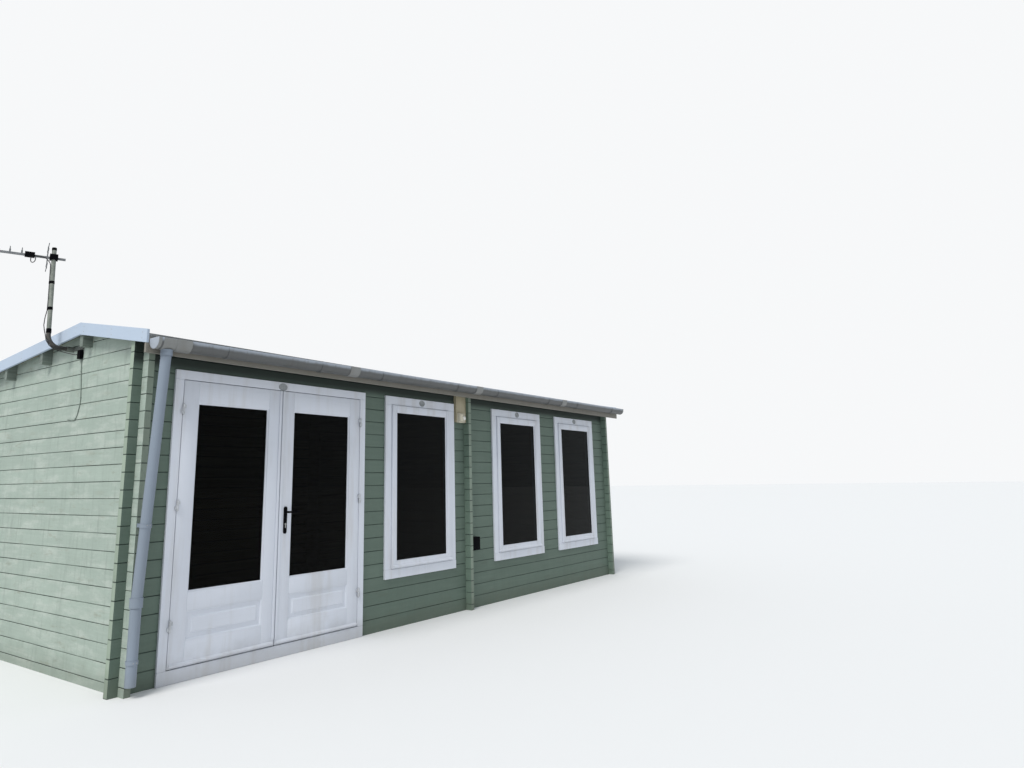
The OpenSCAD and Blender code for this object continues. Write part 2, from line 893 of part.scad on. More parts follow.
// A sheet that follows the roof between two distances behind the front wall
module roof_sheet(x0, x1, y0, y1, above, thick) {
    middle = y0 < ridge_back && y1 > ridge_back ? 1 : 0;
    under = concat([[y0, roof_z(y0)]], middle ? [[ridge_back, ridge_z]] : [], [[y1, roof_z(y1)]]);
    along_x(x0, x1) polygon(concat(
        [for (p = under) p + [0, above]],
        reversed([for (p = under) p + [0, above + thick]])
    ));
}

module front_roof_boards() {
    color(raw_timber) site() roof_sheet(deck_x0, deck_x1, -eave_over, ridge_back, joint_gap, deck_t);
}

module rear_roof_boards() {
    color(raw_timber) site() roof_sheet(deck_x0, deck_x1, ridge_back, rear_eave, joint_gap, deck_t);
}

drip_h = 22;
felt_low = deck_t + seat;

// Felt laid on the boards and turned down over the eaves board
module front_felt() {
    edge = roof_z(-eave_y) + felt_low;
    color(felt_grey) site() {
        roof_sheet(deck_x0 + seat, deck_x1 - seat, -eave_y, ridge_back, felt_low, felt_t);
        block([deck_x0 + seat, -eave_y - felt_t, edge - drip_h], [deck_x1 - seat, -eave_y, edge + felt_t]);
    }
}

module rear_felt() {
    edge_y = wall_dep + eave_y;
    edge = roof_z(edge_y) + felt_low;
    color(felt_grey) site() {
        roof_sheet(deck_x0 + seat, deck_x1 - seat, ridge_back, edge_y, felt_low, felt_t);
        block([deck_x0 + seat, edge_y, edge - drip_h], [deck_x1 - seat, edge_y + felt_t, edge + felt_t]);
    }
}

module ridge_felt() {
    color(felt_grey) site() roof_sheet(
        deck_x0 + seat, deck_x1 - seat, ridge_back - ridge_cap, ridge_back + ridge_cap,
        felt_low + felt_t + joint_gap, felt_t
    );
}

// Bargeboards with plumb ends, mitred over the ridge
module bargeboards(x0) {
    x1 = x0 + barge_t;
    roof_sheet(x0, x1, -eave_y, ridge_back - joint_gap, -barge_down, barge_down + barge_up);
    roof_sheet(x0, x1, ridge_back + joint_gap, wall_dep + eave_y, -barge_down, barge_down + barge_up);
}

module left_bargeboards() {
    color(joinery_white) site() bargeboards(deck_x0 - barge_t);
}

module right_bargeboards() {
    color(joinery_white) site() bargeboards(deck_x1);
}

// Eaves boards run under the feet of the bargeboards
module fascia(y0, y1) {
    top0 = roof_z(y0) + deck_t;
    top1 = roof_z(y1) + deck_t;
    low = min(top0, top1) - fascia_h;
    foot = min(roof_z(y0), roof_z(y1)) - barge_down - seat;
    difference() {
        along_x(deck_x0 - barge_t, deck_x1 + barge_t)
            polygon([[y0, low], [y1, low], [y1, top1], [y0, top0]]);
        block([deck_x0 - barge_t - 1, y0 - 1, foot], [deck_x0 + seat, y1 + 1, ridge_z]);
        block([deck_x1 - seat, y0 - 1, foot], [deck_x1 + barge_t + 1, y1 + 1, ridge_z]);
    }
}

module front_fascia() {
    color(joinery_white) site() fascia(-eave_y, -eave_over);
}

module rear_fascia() {
    color(joinery_white) site() fascia(rear_eave, wall_dep + eave_y);
}

// Gutter: a half-round trough with straight sides and closed ends, and an outlet over the pipe
gutter_y = -eave_y - felt_t - 2 * seat - bracket_t - gutter_r;
rim_z = roof_z(-eave_y) + deck_t - gutter_drop;
round_z = rim_z - gutter_side;
outlet_r = pipe_r + 5;
outlet_low = round_z - gutter_r - 38;

module trough_section(r) {
    translate([gutter_y, round_z]) intersection() {
        circle(r = r);
        translate([-r, -r]) square([2 * r, r]);
    }
    translate([gutter_y - r, round_z]) square([2 * r, gutter_side]);
}

// Lays what is drawn level along the gutter's fall, which is zero at the outlet
module on_fall() {
    translate([pipe_x, 0, round_z]) rotate([0, -atan(gutter_fall / 1000), 0])
        translate([-pipe_x, 0, -round_z]) children();
}

// Outside less inside: a strap or a length of trough, open above
module trough_shell(x0, x1, outer, inner) {
    along_x(x0, x1) difference() {
        trough_section(outer);
        trough_section(inner);
        translate([gutter_y - inner, rim_z - 1]) square([2 * inner, 2]);
    }
}

gutter_gap = 6;
outlet_end = deck_x0 + outlet_len;
gutter_joints = concat([outlet_end], [for (i = [-1 : 1]) gutter_mid + i * gutter_piece]);
gutter_ends = concat(gutter_joints, [deck_x1 + gutter_gap / 2]);

module trough_piece(x0, x1) {
    trough_shell(x0, x1, gutter_r, gutter_r - plastic_t);
}

// Four lengths with a gap for movement at each joint, and a stop end on the last
module gutter() {
    color(plastic_grey) site() on_fall() {
        for (i = [0 : len(gutter_ends) - 2])
            trough_piece(gutter_ends[i] + gutter_gap / 2, gutter_ends[i + 1] - gutter_gap / 2);
        along_x(deck_x1 - plastic_t, deck_x1) trough_section(gutter_r);
    }
}

// The outlet piece: a short trough with a stop end and a spigot into the downpipe
module gutter_outlet() {
    color(plastic_grey) site() difference() {
        union() {
            on_fall() {
                trough_piece(deck_x0, outlet_end - gutter_gap / 2);
                along_x(deck_x0, deck_x0 + plastic_t) trough_section(gutter_r);
            }
            translate([pipe_x, gutter_y, outlet_low])
                cylinder(h = round_z - gutter_r * 0.72 - outlet_low, r = outlet_r);
        }
        translate([pipe_x, gutter_y, outlet_low - 1]) cylinder(h = 3 * gutter_r, r = outlet_r - plastic_t);
    }
}

// Unions: wide straps over the joints of the gutter
module gutter_unions() {
    color(plastic_grey) site() on_fall() for (x = gutter_joints)
        trough_shell(x - union_len / 2, x + union_len / 2, gutter_r + bracket_t, gutter_r + seat);
}

// Brackets: straps on a foot that is screwed to the eaves board below the felt
module bracket_section() {
    inner = gutter_r + seat;
    difference() {
        union() {
            trough_section(gutter_r + bracket_t);
            translate([gutter_y, round_z - 32]) square([-eave_y - gutter_y, 28]);
        }
        trough_section(inner);
        translate([gutter_y - inner, rim_z - 1]) square([2 * inner, 2]);
    }
}

module gutter_brackets() {
    color(plastic_grey) site() on_fall()
        for (i = [0 : len(gutter_ends) - 2], k = [0 : bracket_count - 1]) {
            first = gutter_ends[i] + bracket_inset;
            last = gutter_ends[i + 1] - bracket_inset;
            translate([first + k * (last - first) / (bracket_count - 1), 0, 0])
                along_x(-bracket_w / 2, bracket_w / 2) bracket_section();
        }
}

// Downpipe: it leans back from the gutter's outlet to the log ends, then stands upright
pipe_foot_y = -log_end - pipe_stand - pipe_r;
pipe_head_z = outlet_low + 26;
lean_h = pipe_head_z - collar_z;
lean = atan((pipe_foot_y - gutter_y) / lean_h);

shoulder = 4;
lean_start = shoulder + 2;

// Along the leaning length, from its elbow
module on_lean() {
    translate([pipe_x, pipe_foot_y, collar_z]) rotate([lean, 0, 0]) children();
}

module lean_rod(s0, s1, r) {
    on_lean() translate([0, 0, s0]) cylinder(h = s1 - s0, r = r);
}

module upright_rod(z0, z1, r) {
    translate([pipe_x, pipe_foot_y, z0]) cylinder(h = z1 - z0, r = r);
}

lean_end = lean_h / cos(lean);

module lean_pipe(s0, s1) {
    difference() {
        lean_rod(s0, s1, pipe_r);
        lean_rod(s0 - 1, s1 + 1, pipe_r - plastic_t);
    }
}

// The bend below the outlet, seated on the leaning length
module downpipe_head() {
    color(plastic_grey) site() lean_pipe(lean_end - pipe_head, lean_end);
}

// Two lengths: the leaning one stands on a shoulder in the collar of the upright one
module downpipe() {
    color(plastic_grey) site() {
        lean_pipe(lean_start, lean_end - pipe_head - seat);
        difference() {
            union() {
                upright_rod(shoe_z, collar_z, pipe_r);
                upright_rod(collar_z - collar_h / 2, collar_z + collar_h / 2, pipe_r + 6);
            }
            upright_rod(shoe_z - 1, collar_z + 2 * shoulder, pipe_r - plastic_t);
            lean_rod(shoulder, collar_h, pipe_r + seat);
        }
    }
}

// Clips: a band round the pipe on a block that is screwed to the end of the gable's logs
function pipe_y(z) = z < collar_z ? pipe_foot_y : pipe_foot_y - (z - collar_z) * tan(lean);

module pipe_clip(z) {
    band_r = pipe_r + 4;
    tilt = z < collar_z ? 0 : lean;
    difference() {
        union() {
            translate([pipe_x, pipe_y(z), z]) rotate([tilt, 0, 0])
                translate([0, 0, -clip_w / 2]) cylinder(h = clip_w, r = band_r);
            block([pipe_x - 12, pipe_y(z) + pipe_r, z - clip_w / 2], [pipe_x + 12, -log_end - joint_gap, z + clip_w / 2]);
        }
        translate([pipe_x, pipe_y(z), z]) rotate([tilt, 0, 0])
            translate([0, 0, -2 * clip_w]) cylinder(h = 4 * clip_w, r = pipe_r + seat);
    }
}

module pipe_clips() {
    color(plastic_grey) site() {
        pipe_clip(clip_z);
        pipe_clip(shoe_z + 140);
    }
}

// Board and movement sensor beside the partition's log ends
sensor_board_x = partition_x - sensor_board_w - 2;

module sensor_board() {
    color(cream) site()
        block(
            [sensor_board_x, -sensor_board_t, sensor_board_z],
            [sensor_board_x + sensor_board_w, -joint_gap, sensor_board_z + sensor_board_h]
        );
}

module movement_sensor() {
    x0 = sensor_board_x + 8;
    x1 = x0 + sensor_w;
    y0 = -sensor_board_t - sensor_d;
    z0 = sensor_board_z - 4;
    color(cream) site() {
        block([x0, y0 + 16, z0], [x1, -sensor_board_t - joint_gap, z0 + sensor_h]);
        block([x0, y0, z0 + 12], [x0 + 0.48 * sensor_w, y0 + 17, z0 + sensor_h - 12]);
        translate([x1 - lens_r - 1, y0 + 18, z0 + sensor_h / 2]) sphere(r = lens_r);
    }
}

module outdoor_socket() {
    x = partition_end + 12;
    color(hardware_black) site() {
        block([x + 6, -socket_d, socket_z + 6], [x + socket_w - 6, -joint_gap, socket_z + socket_h - 6]);
        block([x, -socket_d + 14, socket_z], [x + socket_w, -socket_d + 22, socket_z + socket_h]);
    }
}

// Aerial mast: a swan neck clamped to a bar on the gable, under the bargeboard
arm_start = 14;
bar_h = 30;
bar_t = 8;
bar_front = 170;
box_front = 145;

module on_arm() {
    translate([0, mast_wall_y, mast_arm_z]) children();
}

module mast_bracket() {
    color(steel_grey) site() difference() {
        union() {
            block(
                [-bar_t, mast_wall_y - bar_front, mast_arm_z - bar_h / 2],
                [-joint_gap, mast_wall_y + 34, mast_arm_z + bar_h / 2]
            );
            on_arm() rotate([0, -90, 0]) translate([0, 0, joint_gap])
                cylinder(h = 56, r = mast_r + 5);
        }
        on_arm() rotate([0, -90, 0]) translate([0, 0, arm_start]) cylinder(h = 80, r = mast_r + seat);
    }
}

// The arm runs out along X and the leg above the bend leans back
module mast() {
    arm_end = mast_reach - mast_bend;
    color(steel_grey) site() on_arm() rotate([-mast_lean, 0, 0]) {
        rotate([0, -90, 0]) translate([0, 0, arm_start + seat])
            cylinder(h = arm_end - arm_start - seat, r = mast_r);
        translate([-arm_end, 0, mast_bend]) rotate([90, 0, 0])
            rotate([0, 0, 180]) rotate_extrude(angle = 90) translate([mast_bend, 0]) circle(r = mast_r);
        translate([-mast_reach, 0, mast_bend])
            cylinder(h = (mast_top - mast_arm_z) / cos(mast_lean) - mast_bend, r = mast_r);
    }
}

// Aerial: a boom across the mast with a reflector, a dipole box and a row of directors
boom_z = mast_top - boom_drop;
mast_y = mast_wall_y + (boom_z - mast_arm_z) * tan(mast_lean);
boom_side = mast_r + boom_w / 2 + 4;
reflector_s = 42;
dipole_s = 159;
first_director = 212;

module rod(s, z, length) {
    translate([s, -length / 2, z]) rotate([-90, 0, 0]) cylinder(h = length, r = rod_r);
}

module at_boom() {
    translate([-mast_reach, mast_y, boom_z]) rotate([0, 0, boom_heading]) children();
}

module aerial() {
    color(steel_grey) site() difference() {
        at_boom() {
            block(
                [-boom_tail, -boom_side - boom_w / 2, -boom_w / 2],
                [boom_len, -boom_side + boom_w / 2, boom_w / 2]
            );
            block([-mast_r - 12, -boom_side, -22], [mast_r + 12, mast_r + 6, 22]);
            translate([0, -boom_side, 0]) {
                block(
                    [reflector_s - 4, -4, -reflector_half],
                    [reflector_s + 4, 4, reflector_half]
                );
                for (z = [-0.9, -0.45, 0.45, 0.9])
                    rod(reflector_s, z * reflector_half, reflector_len);
                block([dipole_s - 33, -18, -boom_w / 2 - 6], [dipole_s + 33, 18, 24]);
                for (i = [0 : director_count - 1]) {
                    s = first_director + i * director_pitch;
                    block([s - 6, -5, 0], [s + 6, 5, post_h]);
                    rod(s, post_h - rod_r - 1, director_len);
                }
            }
        }
        on_arm() rotate([-mast_lean, 0, 0]) translate([-mast_reach, 0, mast_bend])
            cylinder(h = 2 * (mast_top - mast_arm_z), r = mast_r + seat);
    }
}

// Joint box of the cable, below the bar
module cable_box() {
    y = mast_wall_y - box_front;
    color(hardware_black) site()
        block([-28, y - 24, mast_arm_z - 88], [-joint_gap, y + 24, mast_arm_z - bar_h / 2 - 6]);
}

// Cable: from the dipole box along the boom and down the mast to the joint box, then down the
// gable. Route points are in site coordinates.
mast_cable_route = [
    [-303, 1144, 3022], [-270, 1132, 3022], [-236, 1120, 3016], [-222, 1112, 3000],
    [-208, 1103, 2980], [-203, 1098, 2960], [-203, 1091.5, 2880], [-203, 1083.5, 2780],
    [-203, 1075.5, 2680], [-204, 1070, 2600], [-212, 1074, 2540], [-216, 1072, 2480],
    [-215, 1056, 2440], [-213, 1037.1, 2402.7], [-204.4, 1033.7, 2359.7], [-179.9, 1030.8, 2323.1],
    [-143.2, 1028.9, 2298.6], [-100, 1028.2, 2290.1], [-70, 1018, 2283], [-44, 984, 2272],
    [-26, 946, 2262], [-16, 909.3, 2260]
];
cable_route = [
    [-3.8, 1013, 1776], [-3.8, 970, 1770], [-3.8, 930, 1766], [-3.8, 902, 1768],
    [-3.8, 880, 1786], [-3.8, 864, 1812], [-3.8, 854, 1840], [-3.8, 843, 1875],
    [-3.8, 838, 1912], [-3.8, 846, 1980], [-3.8, 858, 2060], [-3.8, 869, 2130],
    [-3.8, 878, 2190], [-3.8, 882, 2224]
];

// Unit direction of the route at point i
function along(v, i) =
    let (d = v[min(i + 1, len(v) - 1)] - v[max(i - 1, 0)]) d / norm(d);

module swept_tube(route, r, sides) {
    rings = [
        for (i = [0 : len(route) - 1])
            let (
                t = along(route, i),
                b = cross(t, [1, 1, 1]),
                bn = b / norm(b),
                n = cross(bn, t)
            )
            for (k = [0 : sides - 1])
                route[i] + r * (cos(360 * k / sides) * n + sin(360 * k / sides) * bn)
    ];
    last = len(route) - 1;
    faces = concat(
        [[for (k = [0 : sides - 1]) k]],
        [for (i = [0 : last - 1], k = [0 : sides - 1]) let (m = (k + 1) % sides)
            [i * sides + k, (i + 1) * sides + k, (i + 1) * sides + m, i * sides + m]],
        [[for (k = [sides - 1 : -1 : 0]) last * sides + k]]
    );
    polyhedron(points = rings, faces = faces, convexity = 4);
}

module aerial_cable() {
    color(hardware_black) site() {
        swept_tube(mast_cable_route, cable_r, 8);
        swept_tube(cable_route, cable_r, 8);
    }
}

floor_joists();
floor_boards();
left_corner_logs();
door_side_logs();
partition_side_logs();
window_side_logs();
right_corner_logs();
window_low_logs();
front_top_logs();
back_wall();
left_gable();
right_gable();
partition_front_logs();
partition_back_logs();
partition_top_logs();
door_frame();
left_door_leaf();
left_door_glass();
right_door_leaf();
right_door_glass();
frame_hinges();
left_leaf_hinges();
right_leaf_hinges();
handle_plates();
door_lever();
window_1_frame();
window_2_frame();
window_3_frame();
window_1_sash();
window_2_sash();
window_3_sash();
window_panes();
frame_discs();
purlins();
front_roof_boards();
rear_roof_boards();
front_felt();
rear_felt();
ridge_felt();
left_bargeboards();
right_bargeboards();
front_fascia();
rear_fascia();
gutter();
gutter_outlet();
gutter_unions();
gutter_brackets();
downpipe_head();
downpipe();
pipe_clips();
sensor_board();
movement_sensor();
outdoor_socket();
mast_bracket();
mast();
aerial();
cable_box();
aerial_cable();
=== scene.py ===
"""Garden office pod: the looks of a log-built garden office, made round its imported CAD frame."""

import math

import bmesh
import bpy
from bpy.props import FloatProperty, FloatVectorProperty, PointerProperty
from mathutils import Matrix, Vector, noise


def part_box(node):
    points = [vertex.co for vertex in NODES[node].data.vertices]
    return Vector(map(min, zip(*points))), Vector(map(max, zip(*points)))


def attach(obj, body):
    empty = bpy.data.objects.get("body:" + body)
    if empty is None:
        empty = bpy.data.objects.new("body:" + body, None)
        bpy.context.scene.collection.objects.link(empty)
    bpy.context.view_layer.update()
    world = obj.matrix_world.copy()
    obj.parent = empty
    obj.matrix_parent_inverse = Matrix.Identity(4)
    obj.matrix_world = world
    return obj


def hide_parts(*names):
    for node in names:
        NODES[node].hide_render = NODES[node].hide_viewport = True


bl_info = {
    "name": "Garden office pod",
    "version": (1, 0, 0),
    "blender": (4, 5, 0),
    "location": "View3D > Sidebar > Garden pod",
    "description": "Dresses the log-built garden office in painted logs, joinery, glass, felt and "
    "rainwater goods",
    "category": "Object",
}

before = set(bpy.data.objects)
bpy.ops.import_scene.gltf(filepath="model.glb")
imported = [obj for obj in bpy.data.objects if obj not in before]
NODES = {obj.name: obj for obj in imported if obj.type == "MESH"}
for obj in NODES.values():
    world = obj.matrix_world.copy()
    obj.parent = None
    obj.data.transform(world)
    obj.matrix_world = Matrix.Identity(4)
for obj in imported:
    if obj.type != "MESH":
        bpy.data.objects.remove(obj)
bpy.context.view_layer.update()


def low(node):
    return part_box(node)[0]


def high(node):
    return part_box(node)[1]


# Sizes of the CAD model that the pieces here share, in metres

WALL_X = (low("left_gable").x, high("right_gable").x)
FRONT_Y = low("door_side_logs").y
BACK_Y = high("back_wall").y
LOG_INSET = 0.042
LOG_END_PAST = 0.02
LEAF_THICK = 0.044
SASH_THICK = 0.044
TRIM_LAP = 0.0285
SEAT = 0.0003
TIGHT_SEAT = 0.0002

FRONT_SLOPE = math.tan(math.radians(10.9))
REAR_SLOPE = math.tan(math.radians(5.45))
RIDGE_Y = FRONT_Y + 0.755
ROOF_BOARD_TOP = 0.01915
RIDGE_Z = high("front_roof_boards").z - ROOF_BOARD_TOP

GUTTER_R = 0.0545
GUTTER_SIDE = 0.019
GUTTER_WALL = 0.002
GUTTER_FALL = 0.0045
COLLAR_R = (GUTTER_R + 0.0001, 0.0558)
RIM_REACH = 0.0559

# Places of the rainwater goods and the aerial: lengths in millimetres, as at() takes them, and angles

PIPE_X = 16
GUTTER_ENDS = (-75, 7012.5)
GUTTER_JOINTS = (115, 1700, 3500, 5300)
MAST_Y = 1030.0
ARM_Z = 2313.0
MAST_REACH = 190.0
MAST_LEAN = math.radians(4.5)
BEND_TOP_Z = 2425.0
BOOM_Z = 3022.0
BOOM_HEADING = math.radians(160)
DIPOLE_S = 159.0

FRONT_LOG_NODES = [
    "left_corner_logs",
    "door_side_logs",
    "partition_side_logs",
    "window_side_logs",
    "right_corner_logs",
    "window_low_logs",
    "front_top_logs",
    "back_wall",
]
CROSSING_NODES = [
    "left_gable",
    "right_gable",
    "partition_front_logs",
    "partition_back_logs",
    "partition_top_logs",
]


def at(x, y, z):
    """A place measured in millimetres from the outer face of the left gable and of the front wall."""
    return Vector((WALL_X[0] + x / 1000, FRONT_Y + y / 1000, z / 1000))


# Settings, as the panel shows them


def colour_prop(name, about, value):
    return FloatVectorProperty(
        name=name, description=about, subtype="COLOR", size=3, min=0, max=1, default=value
    )


def length_prop(name, about, value, lowest, highest):
    return FloatProperty(
        name=name, description=about, default=value, min=lowest, max=highest, unit="LENGTH", precision=4
    )


def factor_prop(name, about, value):
    return FloatProperty(name=name, description=about, default=value, min=0, max=1, subtype="FACTOR")


def number_prop(name, about, value, lowest, highest):
    return FloatProperty(name=name, description=about, default=value, min=lowest, max=highest)


class LogWallSettings(bpy.types.PropertyGroup):
    # The front paint and the gable paint stand for one green. The gable's is lighter, partly as painted
    # sunlight and partly from fading; the front's is the shaded copy.
    shade_paint: colour_prop("Front paint", "Paint of the walls under the eaves", (0.102, 0.146, 0.116))
    sunlit_faded_gable_paint: colour_prop("Gable paint", "Faded paint of the gables", (0.32, 0.385, 0.335))
    # The log end paint and the return paint are shaded and sunlit copies of one end paint: painted light.
    end_paint: colour_prop("Log end paint", "Paint on the end grain of the logs", (0.19, 0.235, 0.19))
    sunlit_return_paint: colour_prop("Return paint", "Paint on the log ends beside the gables", (0.27, 0.33, 0.265))
    groove_paint: colour_prop("Joint", "Colour deep in the joints between courses", (0.012, 0.022, 0.018))
    pine: colour_prop("Inside timber", "Bare timber inside the rooms", (0.46, 0.30, 0.16))
    course: length_prop("Course", "Height of one course of logs", 0.114, 0.08, 0.2)
    weather: factor_prop("Weathering", "Strength of stains, streaks and fading", 0.6)


class JoinerySettings(bpy.types.PropertyGroup):
    paint: colour_prop("White paint", "Paint of the doors and windows", (0.665, 0.695, 0.765))
    # This colour paints dirt streaks and specks, and also painted shade in the hollows.
    grime_and_hollow_shade: colour_prop("Grime", "Dirt that gathers in the corners", (0.30, 0.28, 0.25))
    edge: length_prop("Edge radius", "Radius of the boards' edges", 0.0025, 0.0005, 0.006)
    bead: length_prop("Bead", "Width of the glazing bead", 0.012, 0.006, 0.02)
    dirt: factor_prop("Dirt", "Strength of the dirt on the paint", 0.35)


class RoofSettings(bpy.types.PropertyGroup):
    felt: colour_prop("Felt", "Colour of the mineral felt", (0.155, 0.165, 0.172))
    granule: length_prop("Granule", "Size of the felt's mineral granules", 0.003, 0.001, 0.01)
    barge: colour_prop("Bargeboards", "Paint of the bargeboards", (0.43, 0.51, 0.62))
    fascia: colour_prop("Eaves boards", "Paint of the eaves boards", (0.215, 0.205, 0.178))
    nail_pitch: length_prop("Nail pitch", "Distance between the felt nails", 0.12, 0.05, 0.4)


class FittingSettings(bpy.types.PropertyGroup):
    # The gutter colour is dark as painted shade on the trough's lower side.
    gutter: colour_prop("Gutter", "Colour of the gutter", (0.098, 0.102, 0.103))
    trim: colour_prop("Gutter rims", "Colour of the rolled rims and stop ends", (0.33, 0.365, 0.415))
    pipe: colour_prop("Downpipe", "Colour of the downpipe", (0.205, 0.245, 0.30))
    black: colour_prop("Black fittings", "Colour of the handle and the socket", (0.004, 0.004, 0.005))
    cream: colour_prop("Sensor", "Colour of the sensor's housing", (0.60, 0.56, 0.44))
    steel: colour_prop("Aerial", "Colour of the weathered mast bracket", (0.17, 0.185, 0.17))
    # The glass tint is dark, to paint shade into the rooms behind the panes.
    glass: colour_prop("Glass", "Tint of the glazing", (0.11, 0.14, 0.135))


class StageSettings(bpy.types.PropertyGroup):
    floor: colour_prop("Floor", "Colour of the plain floor", (0.80, 0.80, 0.80))
    key: number_prop("Key light", "Strength of the main light", 2.3, 0, 10)
    soft: number_prop("Soft light", "Strength of the broad light above", 0.4, 0, 5)
    fill: number_prop("Fill", "Strength of the light from all round", 0.56, 0, 3)
    lens: number_prop("Lens", "Focal length of the camera in millimetres", 25.02, 10, 200)


class PodSettings(bpy.types.PropertyGroup):
    walls: PointerProperty(type=LogWallSettings, name="Walls", description="Log walls")
    joinery: PointerProperty(type=JoinerySettings, name="Joinery", description="Doors and windows")
    roof: PointerProperty(type=RoofSettings, name="Roof", description="Felt and roof edges")
    fittings: PointerProperty(
        type=FittingSettings, name="Fittings", description="Rainwater goods and fittings"
    )
    stage: PointerProperty(type=StageSettings, name="Stage", description="Floor, light and camera")


def settings():
    return bpy.context.scene.garden_pod


# Shader helpers


class Graph:
    """Places nodes in a tree and links them in one call."""

    def __init__(self, tree):
        self.tree = tree
        self.count = 0

    def add(self, kind, inputs=None, **values):
        node = self.tree.nodes.new(kind)
        node.location = (self.count % 8 * 190, -(self.count // 8) * 260)
        self.count += 1
        for key, value in values.items():
            setattr(node, key, value)
        for key, value in (inputs or {}).items():
            self.join(value, node.inputs[key])
        return node

    def join(self, value, socket):
        if isinstance(value, bpy.types.NodeSocket):
            self.tree.links.new(value, socket)
        else:
            socket.default_value = value

    def math(self, operation, a, b=0.0, clamp=False):
        node = self.add("ShaderNodeMath", {0: a, 1: b}, operation=operation, use_clamp=clamp)
        return node.outputs[0]

    def times(self, a, b, clamp=False):
        return self.math("MULTIPLY", a, b, clamp)

    def plus(self, a, b):
        return self.math("ADD", a, b)

    def minus(self, a, b):
        return self.math("SUBTRACT", a, b)

    def split(self, vector):
        return self.add("ShaderNodeSeparateXYZ", {0: vector}).outputs

    def combine(self, x, y, z):
        return self.add("ShaderNodeCombineXYZ", {0: x, 1: y, 2: z}).outputs[0]

    def stretch(self, vector, scale, shift=(0, 0, 0)):
        node = self.add("ShaderNodeMapping", {"Vector": vector, "Scale": scale, "Location": shift})
        return node.outputs["Vector"]

    def place(self):
        return self.add("ShaderNodeTexCoord").outputs["Object"]

    def ramp(self, value, start, end, first=0.0, last=1.0):
        """A soft step from the first number to the last between start and end."""
        node = self.add(
            "ShaderNodeMapRange",
            {"Value": value, "From Min": start, "From Max": end, "To Min": first, "To Max": last},
            interpolation_type="SMOOTHSTEP",
        )
        return node.outputs["Result"]

    def noise(self, vector, scale, detail=3.0, rough=0.55, distortion=0.0):
        node = self.add(
            "ShaderNodeTexNoise",
            {"Vector": vector, "Scale": scale, "Detail": detail, "Roughness": rough, "Distortion": distortion},
        )
        return node.outputs["Fac"]

    def drawn_noise(self, vector, scale, detail, rough, shift=(0, 0, 0), distortion=0.0):
        """Noise with its own scale along each axis."""
        return self.noise(self.stretch(vector, scale, shift), 1.0, detail, rough, distortion)

    def cell_noise(self, vector, scale):
        """A random number for each of many small cells."""
        cells = self.add("ShaderNodeTexVoronoi", {"Vector": vector, "Scale": scale, "Randomness": 1.0})
        return self.add("ShaderNodeSeparateColor", {0: cells.outputs["Color"]}).outputs[0]

    def white_noise(self, value):
        return self.add("ShaderNodeTexWhiteNoise", {"W": value}, noise_dimensions="1D").outputs["Value"]

    def mix(self, factor, a, b):
        node = self.add("ShaderNodeMix", {0: factor}, data_type="RGBA", clamp_factor=True)
        self.join(a, node.inputs[6])
        self.join(b, node.inputs[7])
        return node.outputs[2]

    def layers(self, base, *coats):
        """Lays coats of (colour, mask, share) over a colour, one after the other."""
        for colour, mask, share in coats:
            base = self.mix(self.times(mask, share), base, colour)
        return base

    def bump(self, height, strength, distance):
        node = self.add("ShaderNodeBump", {"Height": height, "Strength": strength, "Distance": distance})
        return node.outputs["Normal"]


class Surface(Graph):
    """The graph of a new material with an empty Principled shader."""

    def __init__(self, name):
        self.material = bpy.data.materials.new(name)
        self.material.use_nodes = True
        self.material.node_tree.nodes.clear()
        super().__init__(self.material.node_tree)
        self.shader = self.add("ShaderNodeBsdfPrincipled")
        self.output = self.add("ShaderNodeOutputMaterial", {"Surface": self.shader.outputs[0]})


def rgba(colour, *factors):
    """The colour with its channels times one factor, or times one each."""
    if len(factors) < 3:
        factors = (factors or (1.0,)) * 3
    return (colour[0] * factors[0], colour[1] * factors[1], colour[2] * factors[2], 1.0)


FLOAT, VECTOR = "NodeSocketFloat", "NodeSocketVector"


def new_group(name, inputs, outputs):
    """Shader group of numbers: inputs as {name: default} after the vector, outputs as names."""
    tree = bpy.data.node_groups.new(name, "ShaderNodeTree")
    tree.interface.new_socket(name="Vector", in_out="INPUT", socket_type=VECTOR)
    for label, value in inputs.items():
        socket = tree.interface.new_socket(name=label, in_out="INPUT", socket_type=FLOAT)
        socket.default_value = value
    for label in outputs:
        tree.interface.new_socket(name=label, in_out="OUTPUT", socket_type=FLOAT)
    graph = Graph(tree)
    source = graph.add("NodeGroupInput")
    sink = graph.add("NodeGroupOutput")
    return tree, graph, source.outputs, sink.inputs


def grain_group():
    """Wood grain along X of its vector: pores, soft bands and a few knots."""
    tree, g, given, out = new_group("wood_grain", {"Knots": 0.5}, ["Grain", "Knot", "Height"])
    flow = given["Vector"]
    fine = g.drawn_noise(flow, (3.0, 90.0, 90.0), 4.0, 0.6)
    bands = g.drawn_noise(flow, (0.9, 22.0, 22.0), 3.0, 0.5, distortion=0.6)
    cells = g.add(
        "ShaderNodeTexVoronoi",
        {"Vector": g.stretch(flow, (1.5, 6.5, 6.5)), "Scale": 1.0, "Randomness": 1.0},
    )
    ring = g.ramp(cells.outputs["Distance"], 0.16, 0.03)
    knot = g.times(ring, given["Knots"], clamp=True)
    grain = g.plus(g.times(fine, 0.55), g.times(bands, 0.45))
    g.join(grain, out["Grain"])
    g.join(knot, out["Knot"])
    g.join(g.minus(grain, g.times(knot, 0.3)), out["Height"])
    return tree


def course_group():
    """Courses of a log wall by height: the joints between them and a tone for each log."""
    tree, g, given, out = new_group(
        "log_courses", {"Course": 0.114, "Shift": 0.0, "Width": 0.006}, ["Joint", "Tone"]
    )
    height = g.split(given["Vector"])[2]
    level = g.plus(g.math("DIVIDE", height, given["Course"]), given["Shift"])
    whole = g.math("FLOOR", level)
    part = g.minus(level, whole)
    off = g.math("MINIMUM", part, g.minus(1.0, part))
    distance = g.times(off, given["Course"])
    g.join(g.ramp(distance, 0.0012, given["Width"], 1.0, 0.0), out["Joint"])
    g.join(g.white_noise(whole), out["Tone"])
    return tree


